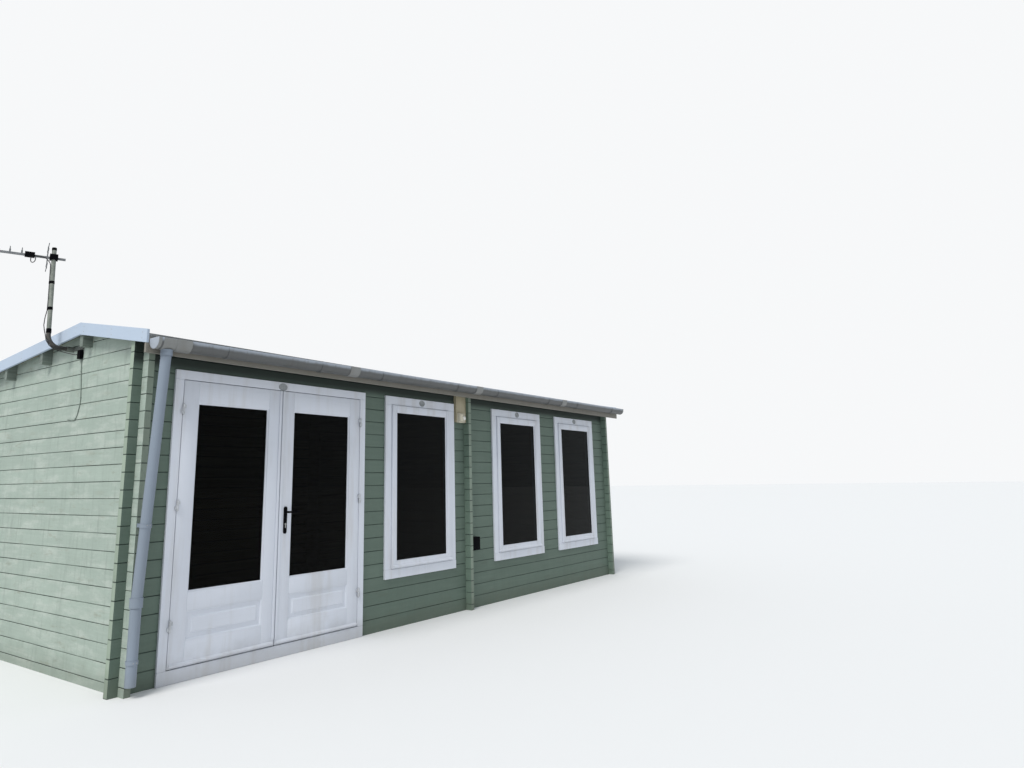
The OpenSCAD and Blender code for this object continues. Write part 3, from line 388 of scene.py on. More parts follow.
def inside_group():
    """Mask of the rooms' side of the walls, from half sizes about the middle."""
    tree, g, given, out = new_group("room_side", {"Half X": 3.4, "Half Y": 1.2}, ["Inside"])
    parts = g.split(given["Vector"])
    in_x = g.math("LESS_THAN", g.math("ABSOLUTE", parts[0]), given["Half X"])
    in_y = g.math("LESS_THAN", g.math("ABSOLUTE", parts[1]), given["Half Y"])
    g.join(g.times(in_x, in_y), out["Inside"])
    return tree


def weather_group():
    """Rain streaks, blotches, specks and splashed ground dirt."""
    tree, g, given, out = new_group(
        "weathering", {"Splash Height": 0.35}, ["Streak", "Blotch", "Splash", "Speck"]
    )
    vector = given["Vector"]
    streak = g.drawn_noise(vector, (9.0, 9.0, 0.9), 4.0, 0.6)
    blotch = g.drawn_noise(vector, (1.6, 1.6, 2.6), 5.0, 0.6)
    wobble = g.times(g.noise(vector, 7.0, 3.0), given["Splash Height"])
    height = g.split(vector)[2]
    g.join(g.ramp(streak, 0.45, 0.72), out["Streak"])
    g.join(g.ramp(blotch, 0.38, 0.68), out["Blotch"])
    g.join(g.ramp(g.math("DIVIDE", height, g.plus(wobble, 0.01)), 1.3, 0.1), out["Splash"])
    g.join(g.ramp(g.noise(vector, 60.0, 2.0, 0.7), 0.62, 0.74), out["Speck"])
    return tree


def edge_group():
    """Masks of worn edges and of hollows that take painted shade, from how sharply the surface turns."""
    tree, g, given, out = new_group("edge_wear_and_hollow_shade", {"Amount": 1.0}, ["Edge", "Hollow Shade"])
    point = g.add("ShaderNodeNewGeometry").outputs["Pointiness"]
    broken = g.noise(given["Vector"], 45.0, 3.0)
    edge = g.times(g.ramp(point, 0.53, 0.62), broken)
    g.join(g.times(edge, given["Amount"], clamp=True), out["Edge"])
    g.join(g.times(g.ramp(point, 0.485, 0.40), given["Amount"], clamp=True), out["Hollow Shade"])
    return tree


GROUPS = {}
GROUP_MAKERS = {
    "grain": grain_group,
    "courses": course_group,
    "inside": inside_group,
    "weather": weather_group,
    "edge": edge_group,
}


def effect(g, key, vector, inputs):
    """Outputs of one of the shared groups, which is built the first time it is asked for."""
    if key not in GROUPS:
        GROUPS[key] = GROUP_MAKERS[key]()
    return g.add("ShaderNodeGroup", {"Vector": vector, **inputs}, node_tree=GROUPS[key]).outputs


# Finishes. Each gives the values or links of the Principled shader's sockets.


def log_finish(g, walls, paint, along, shift, fade, eaves=False):
    """Painted logs. along is their axis, shift the courses' offset, fade how far the paint has worn, eaves
    whether the top courses take painted shade under the eaves.
    """
    place = g.place()
    x, y, z = g.split(place)
    run, across = (x, y) if along == "X" else (y, x)
    courses = effect(g, "courses", place, {"Course": walls.course, "Shift": shift, "Width": 0.0038})
    flow = g.combine(g.plus(run, g.times(courses["Tone"], 9.0)), across, z)
    grain = effect(g, "grain", flow, {"Knots": 0.55})
    weather = effect(g, "weather", place, {"Splash Height": 0.3})
    edge = effect(g, "edge", place, {"Amount": 0.5})
    worn = g.ramp(g.drawn_noise(flow, (3.2, 9.0, 13.0), 6.0, 0.68), 0.46, 0.66)
    smear = g.ramp(g.drawn_noise(place, (26.0, 26.0, 3.4), 5.0, 0.7), 0.52, 0.74)
    stain = g.ramp(g.drawn_noise(flow, (5.0, 14.0, 20.0), 5.0, 0.7, (3.1, 0.0, 7.7)), 0.58, 0.72)
    broken = g.ramp(g.drawn_noise(flow, (1.7, 1.0, 1.0), 3.0, 0.6), 0.36, 0.56, 0.42, 1.0)
    pale = rgba(paint, 1.38, 1.28, 1.32)
    brown = rgba(paint, 0.72, 0.60, 0.52)
    base = g.layers(
        g.mix(g.times(courses["Tone"], 0.45), rgba(paint, 1.06), rgba(paint, 0.86)),
        (rgba(paint, 1.18), weather["Blotch"], 0.5 * walls.weather),
        (pale, worn, 0.75 * fade),
        (rgba(paint, 0.62), smear, 0.55 * fade),
        (brown, stain, 0.5 * fade),
        (rgba(paint, 0.74), weather["Streak"], 0.4 * walls.weather),
        (rgba(paint, 0.74), g.ramp(grain["Grain"], 0.35, 0.62), 0.2),
        (brown, grain["Knot"], 0.42),
        (rgba(paint, 0.55), weather["Speck"], 0.12 + 0.2 * fade),
        ((0.085, 0.09, 0.06, 1.0), weather["Splash"], 0.32),
        (rgba(paint, 1.4), edge["Edge"], 0.3),
        (rgba(walls.groove_paint), courses["Joint"], broken),
    )
    # Painted shade under the eaves: the top courses darken towards the joint colour.
    if eaves:
        base = g.mix(g.ramp(z, 2.05, 2.13, 0.0, 0.93), base, rgba(walls.groove_paint, 0.8))
    inside = effect(
        g, "inside", place, {"Half X": WALL_X[1] - LOG_INSET, "Half Y": BACK_Y - LOG_INSET}
    )
    pine = g.mix(g.ramp(grain["Grain"], 0.3, 0.7), rgba(walls.pine, 1.1), rgba(walls.pine, 0.6))
    pine = g.mix(grain["Knot"], pine, rgba(walls.pine, 0.25))
    return {
        "Base Color": g.mix(inside["Inside"], base, pine),
        "Roughness": g.plus(0.55, g.times(grain["Grain"], 0.25)),
        "Normal": g.bump(g.plus(grain["Height"], g.times(worn, 0.3)), 0.45, 0.0015),
    }


def log_end_finish(g, walls, paint, shift):
    """Paint over end grain, cracked and dirty, on the crossing log ends."""
    place = g.place()
    courses = effect(g, "courses", place, {"Course": walls.course, "Shift": shift, "Width": 0.006})
    weather = effect(g, "weather", place, {"Splash Height": 0.4})
    cracks = g.drawn_noise(place, (60.0, 60.0, 12.0), 4.0, 0.7)
    base = g.layers(
        g.mix(g.times(courses["Tone"], 0.6), rgba(paint, 1.12), rgba(paint, 0.82)),
        (rgba(paint, 0.5), g.ramp(cracks, 0.55, 0.72), 0.45),
        (rgba(paint, 1.35), weather["Blotch"], 0.3),
        (rgba(paint, 0.6), weather["Streak"], 0.35),
        ((0.07, 0.075, 0.05, 1.0), weather["Splash"], 0.35),
        (rgba(walls.groove_paint), courses["Joint"], 0.92),
    )
    return {"Base Color": base, "Roughness": 0.75, "Normal": g.bump(cracks, 0.6, 0.002)}


def paint_finish(g, colour, dirt, grime_and_hollow_shade, gloss=0.42, streaks=0.3):
    """Brushed paint over planed boards, with dirt along the lower edges and painted shade in the hollows."""
    place = g.place()
    board_uv = g.add("ShaderNodeUVMap", uv_map="board").outputs["UV"]
    grain = effect(g, "grain", board_uv, {"Knots": 0.15})
    weather = effect(g, "weather", place, {"Splash Height": 0.3})
    edge = effect(g, "edge", place, {"Amount": 0.8})
    base = g.layers(
        g.mix(g.times(weather["Blotch"], 0.25), rgba(colour), rgba(colour, 0.9)),
        (rgba(grime_and_hollow_shade, 1.4), weather["Streak"], streaks),
        (rgba(colour, 0.7), g.ramp(grain["Grain"], 0.5, 0.68), 0.10),
        ((0.52, 0.44, 0.30, 1.0), grain["Knot"], 0.14),
        (rgba(grime_and_hollow_shade, 0.5), weather["Speck"], 0.18 * dirt),
        ((0.20, 0.18, 0.13, 1.0), weather["Splash"], 0.6 * dirt + 0.1),
        # Painted shade darkens the hollows.
        (rgba(grime_and_hollow_shade, 0.55), edge["Hollow Shade"], 0.8),
    )
    return {
        "Base Color": base,
        "Roughness": g.plus(gloss, g.times(weather["Blotch"], 0.12)),
        "Normal": g.bump(grain["Height"], 0.22, 0.0008),
    }


def timber_finish(g, walls, colour, along="Y"):
    """Bare planed boards 90 mm wide, painted green where they stand outside the walls."""
    place = g.place()
    x, y, z = g.split(place)
    run, across = (x, y) if along == "X" else (y, x)
    boards = g.math("DIVIDE", across, 0.09)
    board_number = g.math("FLOOR", boards)
    flow = g.combine(g.plus(run, g.times(board_number, 3.7)), across, z)
    grain = effect(g, "grain", flow, {"Knots": 0.6})
    gap = g.math("ABSOLUTE", g.minus(g.math("FRACT", boards), 0.5))
    base = g.mix(g.times(g.white_noise(board_number), 0.6), rgba(colour, 1.12), rgba(colour, 0.78))
    base = g.mix(g.ramp(grain["Grain"], 0.35, 0.65), base, rgba(colour, 0.62))
    base = g.mix(grain["Knot"], base, rgba(colour, 0.25))
    base = g.layers(base, (rgba(colour, 0.12), g.ramp(gap, 0.475, 0.492), 0.85))
    inside = effect(g, "inside", place, {"Half X": WALL_X[1] + 0.002, "Half Y": BACK_Y + 0.002})
    outside = g.mix(
        g.ramp(grain["Grain"], 0.35, 0.65), rgba(walls.shade_paint, 0.75), rgba(walls.shade_paint, 0.4)
    )
    return {
        "Base Color": g.mix(inside["Inside"], outside, base),
        "Roughness": 0.62,
        "Normal": g.bump(g.minus(grain["Height"], g.ramp(gap, 0.47, 0.5)), 0.4, 0.002),
    }


def purlin_finish(g, walls):
    """Square purlins: painted green outside the gables and bare inside."""
    place = g.place()
    grain = effect(g, "grain", place, {"Knots": 0.4})
    outside = g.math("GREATER_THAN", g.math("ABSOLUTE", g.split(place)[0]), WALL_X[1])
    bands = g.ramp(grain["Grain"], 0.3, 0.7)
    # Outside the gables the purlins take the gable paint, with its painted sunlight.
    green = g.mix(bands, rgba(walls.sunlit_faded_gable_paint, 0.6), rgba(walls.sunlit_faded_gable_paint, 0.35))
    bare = g.mix(bands, rgba(walls.pine, 1.1), rgba(walls.pine, 0.6))
    return {
        "Base Color": g.mix(outside, bare, green),
        "Roughness": 0.6,
        "Normal": g.bump(grain["Height"], 0.4, 0.0015),
    }


def felt_finish(g, roof):
    """Mineral felt: pale and dark granules, rain marks and a little moss."""
    place = g.place()
    grit = g.cell_noise(place, 1.0 / roof.granule)
    patch = g.drawn_noise(place, (1.2, 1.2, 1.2), 5.0, 0.65)
    runs = g.drawn_noise(place, (14.0, 1.6, 1.0), 4.0, 0.6)
    moss = g.ramp(g.noise(place, 5.5, 6.0, 0.7), 0.62, 0.74)
    base = g.layers(
        g.mix(grit, rgba(roof.felt, 0.5), rgba(roof.felt, 1.65)),
        (rgba(roof.felt, 1.35), g.ramp(patch, 0.35, 0.7), 0.45),
        (rgba(roof.felt, 0.55), g.ramp(runs, 0.5, 0.7), 0.35),
        ((0.075, 0.09, 0.035, 1.0), moss, 0.45),
    )
    height = g.plus(g.times(grit, 0.7), g.times(patch, 0.6))
    return {"Base Color": base, "Roughness": 0.93, "Normal": g.bump(height, 0.55, 0.0015)}


def plastic_finish(g, colour, gloss=0.4, dirt=0.4, dark=(0.10, 0.11, 0.09), ior=1.45, hollow_shade=0.6):
    """Moulded plastic with a fine surface, rain dirt and painted shade in the hollows."""
    place = g.place()
    weather = effect(g, "weather", place, {"Splash Height": 0.25})
    edge = effect(g, "edge", place, {"Amount": 0.8})
    fade = g.noise(place, 2.5, 4.0, 0.6)
    base = g.layers(
        g.mix(g.times(fade, 0.35), rgba(colour, 1.08), rgba(colour, 0.82)),
        (rgba(dark), weather["Streak"], 0.45 * dirt),
        (rgba(dark, 0.7), weather["Speck"], 0.4 * dirt),
        ((0.16, 0.15, 0.11, 1.0), weather["Splash"], 0.6 * dirt),
        # Painted shade darkens the hollows.
        (rgba(dark, 0.5), edge["Hollow Shade"], hollow_shade),
    )
    return {
        "Base Color": base,
        "Roughness": g.plus(gloss, g.times(fade, 0.18)),
        "IOR": ior,
        "Normal": g.bump(g.noise(place, 700.0, 2.0, 0.5), 0.12, 0.0004),
    }


def gutter_finish(g, fittings):
    """Plastic with a painted highlight near the rim of the trough and painted shade below it, with dirt runs
    and specks. The change follows the fall.
    """
    place = g.place()
    parts = g.split(place)
    rise = g.times(g.minus(parts[0], at(PIPE_X, 0, 0).x), GUTTER_FALL)
    height = g.minus(g.minus(parts[2], trough_height()), rise)
    wander = g.drawn_noise(place, (9.0, 9.0, 30.0), 5.0, 0.65)
    height = g.plus(height, g.times(g.minus(wander, 0.5), 0.02))
    runs = g.ramp(g.drawn_noise(place, (48.0, 20.0, 3.0), 5.0, 0.7), 0.5, 0.72)
    specks = g.ramp(g.noise(place, 120.0, 4.0, 0.7), 0.6, 0.72)
    # Painted light: the trough runs from a painted highlight under the rim to painted shade in the gutter
    # colour below.
    base = g.layers(
        g.mix(g.ramp(height, -0.014, 0.016), rgba(fittings.gutter), rgba(fittings.trim, 1.12)),
        ((0.075, 0.07, 0.055, 1.0), runs, 0.45),
        ((0.06, 0.06, 0.05, 1.0), specks, 0.35),
    )
    return {
        "Base Color": base,
        "Roughness": g.plus(0.4, g.times(wander, 0.25)),
        "Normal": g.bump(specks, 0.12, 0.0004),
    }


def cable_finish(g, walls):
    """Black sheath in the air. Along the gable it is painted over with the wall."""
    place = g.place()
    by_wall = g.ramp(g.split(place)[0], WALL_X[0] - 0.012, WALL_X[0] - 0.008)
    patch = g.noise(place, 60.0, 4.0, 0.6)
    sheath = g.mix(patch, (0.022, 0.022, 0.025, 1.0), (0.05, 0.05, 0.052, 1.0))
    # Where the cable is painted over, it takes the gable paint, with its painted sunlight.
    painted = g.mix(patch, rgba(walls.sunlit_faded_gable_paint, 0.42), rgba(walls.sunlit_faded_gable_paint, 0.75))
    return {
        "Base Color": g.mix(by_wall, sheath, painted),
        "Roughness": 0.55,
        "Normal": g.bump(patch, 0.2, 0.0005),
    }


def metal_finish(g, colour, metallic, gloss, rust):
    """Weathered metal with spangle, dull patches and a little rust."""
    place = g.place()
    spangle = g.cell_noise(place, 110.0)
    patch = g.noise(place, 9.0, 5.0, 0.65)
    rusty = g.ramp(g.noise(place, 16.0, 5.0, 0.7), 0.6, 0.72)
    base = g.layers(
        g.mix(spangle, rgba(colour, 0.85), rgba(colour, 1.15)),
        (rgba(colour, 0.6), g.ramp(patch, 0.4, 0.65), 0.5),
        ((0.16, 0.075, 0.035, 1.0), rusty, rust),
    )
    return {
        "Base Color": base,
        "Metallic": g.minus(metallic, g.times(rusty, metallic * rust)),
        "Roughness": g.plus(gloss, g.times(patch, 0.2)),
        "Normal": g.bump(patch, 0.15, 0.0005),
    }


def mast_finish(g):
    """Weathered galvanised pipe over a dark swan neck."""
    place = g.place()
    patch = g.noise(place, 22.0, 5.0, 0.65)
    spots = g.ramp(g.noise(place, 90.0, 4.0, 0.7), 0.55, 0.7)
    pipe = g.layers(
        g.mix(g.ramp(patch, 0.35, 0.65), (0.155, 0.175, 0.15, 1.0), (0.25, 0.265, 0.235, 1.0)),
        ((0.09, 0.095, 0.07, 1.0), spots, 0.4),
    )
    neck = g.mix(g.ramp(patch, 0.4, 0.65), (0.035, 0.035, 0.035, 1.0), (0.075, 0.068, 0.06, 1.0))
    upper = g.ramp(g.split(place)[2], at(0, 0, BEND_TOP_Z).z, at(0, 0, BEND_TOP_Z + 2).z)
    return {
        "Base Color": g.mix(upper, neck, pipe),
        "Metallic": 0.2,
        "Roughness": g.plus(0.42, g.times(patch, 0.25)),
        "Normal": g.bump(spots, 0.2, 0.0005),
    }


def glass_finish(g, room_shade_tint):
    """Glazing with a dark tint that paints shade into the rooms behind it. Light on its way into the rooms
    passes it as a plain filter.
    """
    clear = g.add("ShaderNodeBsdfTransparent", {"Color": rgba(room_shade_tint)})
    path = g.add("ShaderNodeLightPath").outputs
    passing = g.math("MAXIMUM", path["Is Shadow Ray"], path["Is Diffuse Ray"])
    mixed = g.add("ShaderNodeMixShader", {0: passing, 1: g.shader.outputs[0], 2: clear.outputs[0]})
    g.join(mixed.outputs[0], g.output.inputs["Surface"])
    return {
        "Base Color": rgba(room_shade_tint),
        "Roughness": 0.015,
        "IOR": 1.13,
        "Transmission Weight": 1.0,
        "Normal": g.bump(g.noise(g.place(), 1.3, 2.0), 0.03, 0.002),
    }


FINISHES = {
    # The front logs take painted shade under the eaves.
    "front_logs": lambda g, pod: log_finish(g, pod.walls, pod.walls.shade_paint, "X", 0.0, 0.3, eaves=True),
    "back_logs": lambda g, pod: log_finish(g, pod.walls, pod.walls.shade_paint, "X", 0.0, 0.4),
    # The gable paint is partly painted sunlight.
    "gable_logs": lambda g, pod: log_finish(g, pod.walls, pod.walls.sunlit_faded_gable_paint, "Y", 0.5, 1.0),
    # The partition paint is the front paint lightened as painted light, offsetting the shadow the gutter casts
    # on the partition's log ends.
    "partition_logs": lambda g, pod: log_finish(
        g, pod.walls, rgba(pod.walls.shade_paint, 1.35), "Y", 0.5, 0.3
    ),
    # The two log end paints are sunlit and shaded copies of one paint: painted light.
    "front_log_ends": lambda g, pod: log_end_finish(g, pod.walls, pod.walls.sunlit_return_paint, 0.0),
    "gable_log_ends": lambda g, pod: log_end_finish(g, pod.walls, pod.walls.end_paint, 0.5),
    "joinery": lambda g, pod: paint_finish(g, pod.joinery.paint, pod.joinery.dirt, pod.joinery.grime_and_hollow_shade),
    "barge": lambda g, pod: paint_finish(g, pod.roof.barge, 0.2, (0.32, 0.34, 0.36), streaks=0.12),
    "fascia": lambda g, pod: paint_finish(g, pod.roof.fascia, 0.9, (0.13, 0.12, 0.10), 0.6, 0.6),
    "sensor_board": lambda g, pod: paint_finish(g, (0.44, 0.39, 0.27), 0.5, (0.2, 0.17, 0.1), streaks=0.4),
    "roof_boards": lambda g, pod: timber_finish(g, pod.walls, (0.50, 0.36, 0.21)),
    "floor_boards": lambda g, pod: timber_finish(g, pod.walls, (0.40, 0.27, 0.15), along="X"),
    "purlin": lambda g, pod: purlin_finish(g, pod.walls),
    "felt": lambda g, pod: felt_finish(g, pod.roof),
    "gutter": lambda g, pod: gutter_finish(g, pod.fittings),
    "gutter_trim": lambda g, pod: plastic_finish(
        g, pod.fittings.trim, 0.35, 0.25, (0.2, 0.2, 0.2), hollow_shade=0.1
    ),
    "gutter_strap": lambda g, pod: plastic_finish(g, (0.22, 0.225, 0.22), 0.4, 0.6, (0.12, 0.105, 0.08)),
    "pipe": lambda g, pod: plastic_finish(g, pod.fittings.pipe, 0.32, 0.35, (0.14, 0.15, 0.15)),
    "black": lambda g, pod: plastic_finish(g, pod.fittings.black, 0.4, 0.15, (0.02, 0.02, 0.018), 1.07),
    "cream": lambda g, pod: plastic_finish(g, pod.fittings.cream, 0.45, 0.5, (0.25, 0.22, 0.15)),
    "lens": lambda g, pod: plastic_finish(g, (0.72, 0.71, 0.66), 0.25, 0.2, (0.35, 0.33, 0.28)),
    "disc": lambda g, pod: metal_finish(g, (0.30, 0.32, 0.33), 0.3, 0.5, 0.1),
    "hinge": lambda g, pod: metal_finish(g, (0.55, 0.57, 0.60), 0.25, 0.4, 0.5),
    "steel": lambda g, pod: metal_finish(g, pod.fittings.steel, 0.35, 0.5, 0.3),
    "zinc": lambda g, pod: metal_finish(g, (0.42, 0.42, 0.41), 0.8, 0.4, 0.2),
    "alloy": lambda g, pod: metal_finish(g, (0.22, 0.23, 0.24), 0.5, 0.45, 0.1),
    "mast": lambda g, pod: mast_finish(g),
    "cable": lambda g, pod: cable_finish(g, pod.walls),
    "glass": lambda g, pod: glass_finish(g, pod.fittings.glass),
    "floor_plain": lambda g, pod: {"Base Color": rgba(pod.stage.floor), "Roughness": 0.9},
}
MATERIALS = {}


def material(key):
    """A finish by name, built the first time it is asked for."""
    if key not in MATERIALS:
        g = Surface(key)
        for socket, value in FINISHES[key](g, settings()).items():
            g.join(value, g.shader.inputs[socket])
        MATERIALS[key] = g.material
    return MATERIALS[key]


# Mesh helpers. Every piece is modelled in metres in the row frame, its object at the origin.


def add_object(name, data):
    made = bpy.data.objects.new(name, data)
    bpy.context.scene.collection.objects.link(made)
    return made


def mesh_object(bm, name, keys):
    """Makes the object of a bmesh and gives it its finishes."""
    mesh = bpy.data.meshes.new(name)
    bm.to_mesh(mesh)
    bm.free()
    for key in keys:
        mesh.materials.append(material(key))
    return add_object(name, mesh)


def finish_piece(bm, name, keys, body, replaced=(), smooth=None):
    """Makes a piece and seats it in the frame. smooth is the angle in degrees that stays sharp."""
    piece = mesh_object(bm, name, keys)
    if smooth:
        for polygon in piece.data.polygons:
            polygon.use_smooth = True
        piece.data.set_sharp_from_angle(angle=math.radians(smooth))
    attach(piece, body)
    if replaced:
        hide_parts(*replaced)


def new_piece():
    bm = bmesh.new()
    bm.loops.layers.uv.new("board")
    return bm


def other_axes(axis):
    return [i for i in range(3) if i != axis]


def faces_since(bm, before):
    return [f for f in bm.faces if f not in before]


def verts_of(faces):
    return list({v for f in faces for v in f.verts})


def give_finish(faces, index):
    for f in faces:
        f.material_index = index


def lay_grain(bm, faces, axis, seed):
    """Lays the board UV map so that its first number runs along the axis."""
    layer = bm.loops.layers.uv["board"]
    first, second = other_axes(axis)
    for face in faces:
        side = first if abs(face.normal[second]) > abs(face.normal[first]) else second
        for loop in face.loops:
            point = loop.vert.co
            loop[layer].uv = (point[axis] + seed * 1.37, point[side] + seed * 0.61)


def bevel_edges(bm, edges, width, segments=2):
    bmesh.ops.bevel(
        bm,
        geom=edges,
        offset=width,
        offset_type="OFFSET",
        segments=segments,
        profile=0.5,
        affect="EDGES",
        material=-1,
        clamp_overlap=True,
    )


def board(bm, lo, hi, edge=None, segments=2, index=0):
    """A planed board between two corners, its edges rounded, its grain along its length."""
    lo, hi = Vector(lo), Vector(hi)
    size = hi - lo
    before = set(bm.faces)
    verts = bmesh.ops.create_cube(bm, size=1.0)["verts"]
    bmesh.ops.scale(bm, vec=size, verts=verts)
    bmesh.ops.translate(bm, vec=(lo + hi) / 2, verts=verts)
    edge = settings().joinery.edge if edge is None else edge
    if edge:
        edges = list({e for v in verts for e in v.link_edges})
        bevel_edges(bm, edges, min(edge, min(size) * 0.3), segments)
    faces = faces_since(bm, before)
    give_finish(faces, index)
    bm.normal_update()
    longest = max(range(3), key=lambda i: size[i])
    lay_grain(bm, faces, longest, (lo.x * 3.1 + lo.y * 5.3 + lo.z * 7.7) % 11.0)


def extruded(bm, outline, start, end, edge=0.0, index=0):
    """Extrudes an outline of (y, z) points along X, from start to end."""
    before = set(bm.faces)
    face = bm.faces.new([bm.verts.new((start, y, z)) for y, z in outline])
    pushed = bmesh.ops.extrude_face_region(bm, geom=[face])
    moved = [v for v in pushed["geom"] if isinstance(v, bmesh.types.BMVert)]
    bmesh.ops.translate(bm, vec=(end - start, 0.0, 0.0), verts=moved)
    faces = faces_since(bm, before)
    bmesh.ops.recalc_face_normals(bm, faces=faces)
    if edge:
        edges = list({e for f in faces for e in f.edges if e.calc_face_angle(0.0) > 0.35})
        bevel_edges(bm, edges, edge)
        faces = faces_since(bm, before)
    give_finish(faces, index)
    bm.normal_update()
    lay_grain(bm, faces, 0, (start * 3.7) % 7.0)
    return faces


def upright(axis):
    """The turn that takes Z to the axis."""
    return Vector(axis).to_track_quat("Z", "Y").to_matrix().to_4x4()


def rod(bm, start, end, radius, sides=16, index=0):
    """A round bar between two points."""
    start, end = Vector(start), Vector(end)
    line = end - start
    made = bmesh.ops.create_cone(
        bm,
        cap_ends=True,
        segments=sides,
        radius1=radius,
        radius2=radius,
        depth=line.length,
        matrix=Matrix.Translation((start + end) / 2) @ upright(line),
    )
    give_finish({f for v in made["verts"] for f in v.link_faces}, index)


def turned(bm, profile, origin, axis, sides=32, index=0):
    """Turns a profile of (distance along the axis, radius) points about the axis."""
    before = set(bm.faces)
    verts = [bm.verts.new((radius, 0.0, along)) for along, radius in profile]
    edges = [bm.edges.new(pair) for pair in zip(verts, verts[1:])]
    bmesh.ops.spin(
        bm, geom=verts + edges, cent=(0, 0, 0), axis=(0, 0, 1), angle=math.tau, steps=sides, use_merge=True
    )
    bmesh.ops.remove_doubles(bm, verts=verts_of(faces_since(bm, before)), dist=1e-6)
    faces = faces_since(bm, before)
    bmesh.ops.recalc_face_normals(bm, faces=faces)
    place = Matrix.Translation(Vector(origin)) @ upright(axis)
    bmesh.ops.transform(bm, matrix=place, verts=verts_of(faces))
    give_finish(faces, index)
    return faces


def domed_head(bm, centre, axis, radius, height, index=0):
    """A small nail or screw head on a face."""
    profile = [(0.0, radius), (height * 0.5, radius * 0.92), (height * 0.9, radius * 0.6), (height, 0.0002)]
    turned(bm, profile, centre, axis, 10, index)


def tube_along(bm, points, radius, sides=12, smooth_steps=6):
    """A bent tube through the points: a curve of that radius, taken into the mesh."""
    curve = bpy.data.curves.new("bend", "CURVE")
    curve.dimensions = "3D"
    curve.bevel_depth = radius
    curve.bevel_resolution = sides // 4 - 1
    curve.use_fill_caps = True
    curve.resolution_u = smooth_steps
    spline = curve.splines.new("BEZIER")
    spline.bezier_points.add(len(points) - 1)
    for knot, point in zip(spline.bezier_points, points):
        knot.co = point
        knot.handle_left_type = knot.handle_right_type = "AUTO"
    holder = add_object("bend", curve)
    bpy.context.view_layer.update()
    mesh = bpy.data.meshes.new_from_object(holder.evaluated_get(bpy.context.evaluated_depsgraph_get()))
    before = set(bm.faces)
    bm.from_mesh(mesh)
    bpy.data.objects.remove(holder)
    bpy.data.curves.remove(curve)
    bpy.data.meshes.remove(mesh)
    give_finish(faces_since(bm, before), 0)


def finish_node(node, *keys):
    """Gives a CAD node its finishes."""
    mesh = NODES[node].data
    mesh.materials.clear()
    for key in keys:
        mesh.materials.append(material(key))


def second_finish(node, chosen):
    """Puts the second finish of a CAD node on the faces that are chosen, the first on the others."""
    for polygon in NODES[node].data.polygons:
        polygon.material_index = 1 if chosen(polygon) else 0


# Walls and floor


def mark_ends(node, axis, limit):
    """Puts the second finish on the faces of a log node that look along its logs, past a limit."""
    second_finish(node, lambda face: abs(face.normal[axis]) > 0.9 and abs(face.center[axis]) > limit)


def dress_walls():
    for node in FRONT_LOG_NODES:
        finish_node(node, "back_logs" if node == "back_wall" else "front_logs", "front_log_ends")
        mark_ends(node, 0, WALL_X[1] + LOG_END_PAST)
    for node in CROSSING_NODES:
        finish_node(node, "gable_logs" if node == "left_gable" else "partition_logs", "gable_log_ends")
        mark_ends(node, 1, BACK_Y + LOG_END_PAST)
    finish_node("floor_joists", "floor_boards")
    finish_node("floor_boards", "floor_boards")


# Doors and windows

DOOR_TRIM, WINDOW_TRIM = 0.065, 0.080
THRESHOLD = 0.090
DOOR_STOP, WINDOW_STOP = 0.016, 0.020
DOOR_STOP_IN, WINDOW_STOP_IN = 0.031, 0.0105
STOP_SHORT = 0.001
STILE, SASH_RAIL = 0.120, 0.061
PANEL_HALF = 0.0098
FIELD_MARGIN, FIELD_SLOPE = 0.038, 0.012
FIELD_FOOT, FIELD_FACE = 0.0095, 0.019
MEETING_BEAD = 0.022
BAR_RISE = 0.020
DISC_HALF_LENGTH = 0.0425
LEVER_R = 0.0078


def glazing_bead(bm, x0, x1, z0, z1, y, width, outward):
    """Four mitred quarter-round beads round a pane. outward is -1 for the outer side."""
    depth = width * 0.9
    corners = [
        ((x0, z0), (x1, z0), (0, 1)),
        ((x1, z0), (x1, z1), (-1, 0)),
        ((x1, z1), (x0, z1), (0, -1)),
        ((x0, z1), (x0, z0), (1, 0)),
    ]
    section = [
        (0.0, 0.0), (width, 0.0), (width * 0.93, depth * 0.42), (width * 0.62, depth * 0.8), (0.0, depth)
    ]
    for (ax, az), (bx, bz), (ix, iz) in corners:
        ends = []
        for px, pz, sign in ((ax, az, 1), (bx, bz, -1)):
            dx, dz = (bx - ax), (bz - az)
            length = math.hypot(dx, dz)
            ux, uz = dx / length * sign, dz / length * sign
            ends.append([
                bm.verts.new((px + ix * a + ux * a, y + outward * b, pz + iz * a + uz * a))
                for a, b in section
            ])
        for i in range(len(section)):
            j = (i + 1) % len(section)
            bm.faces.new((ends[0][i], ends[0][j], ends[1][j], ends[1][i]))
        bm.faces.new(ends[0])
        bm.faces.new(list(reversed(ends[1])))
    bmesh.ops.recalc_face_normals(bm, faces=bm.faces)


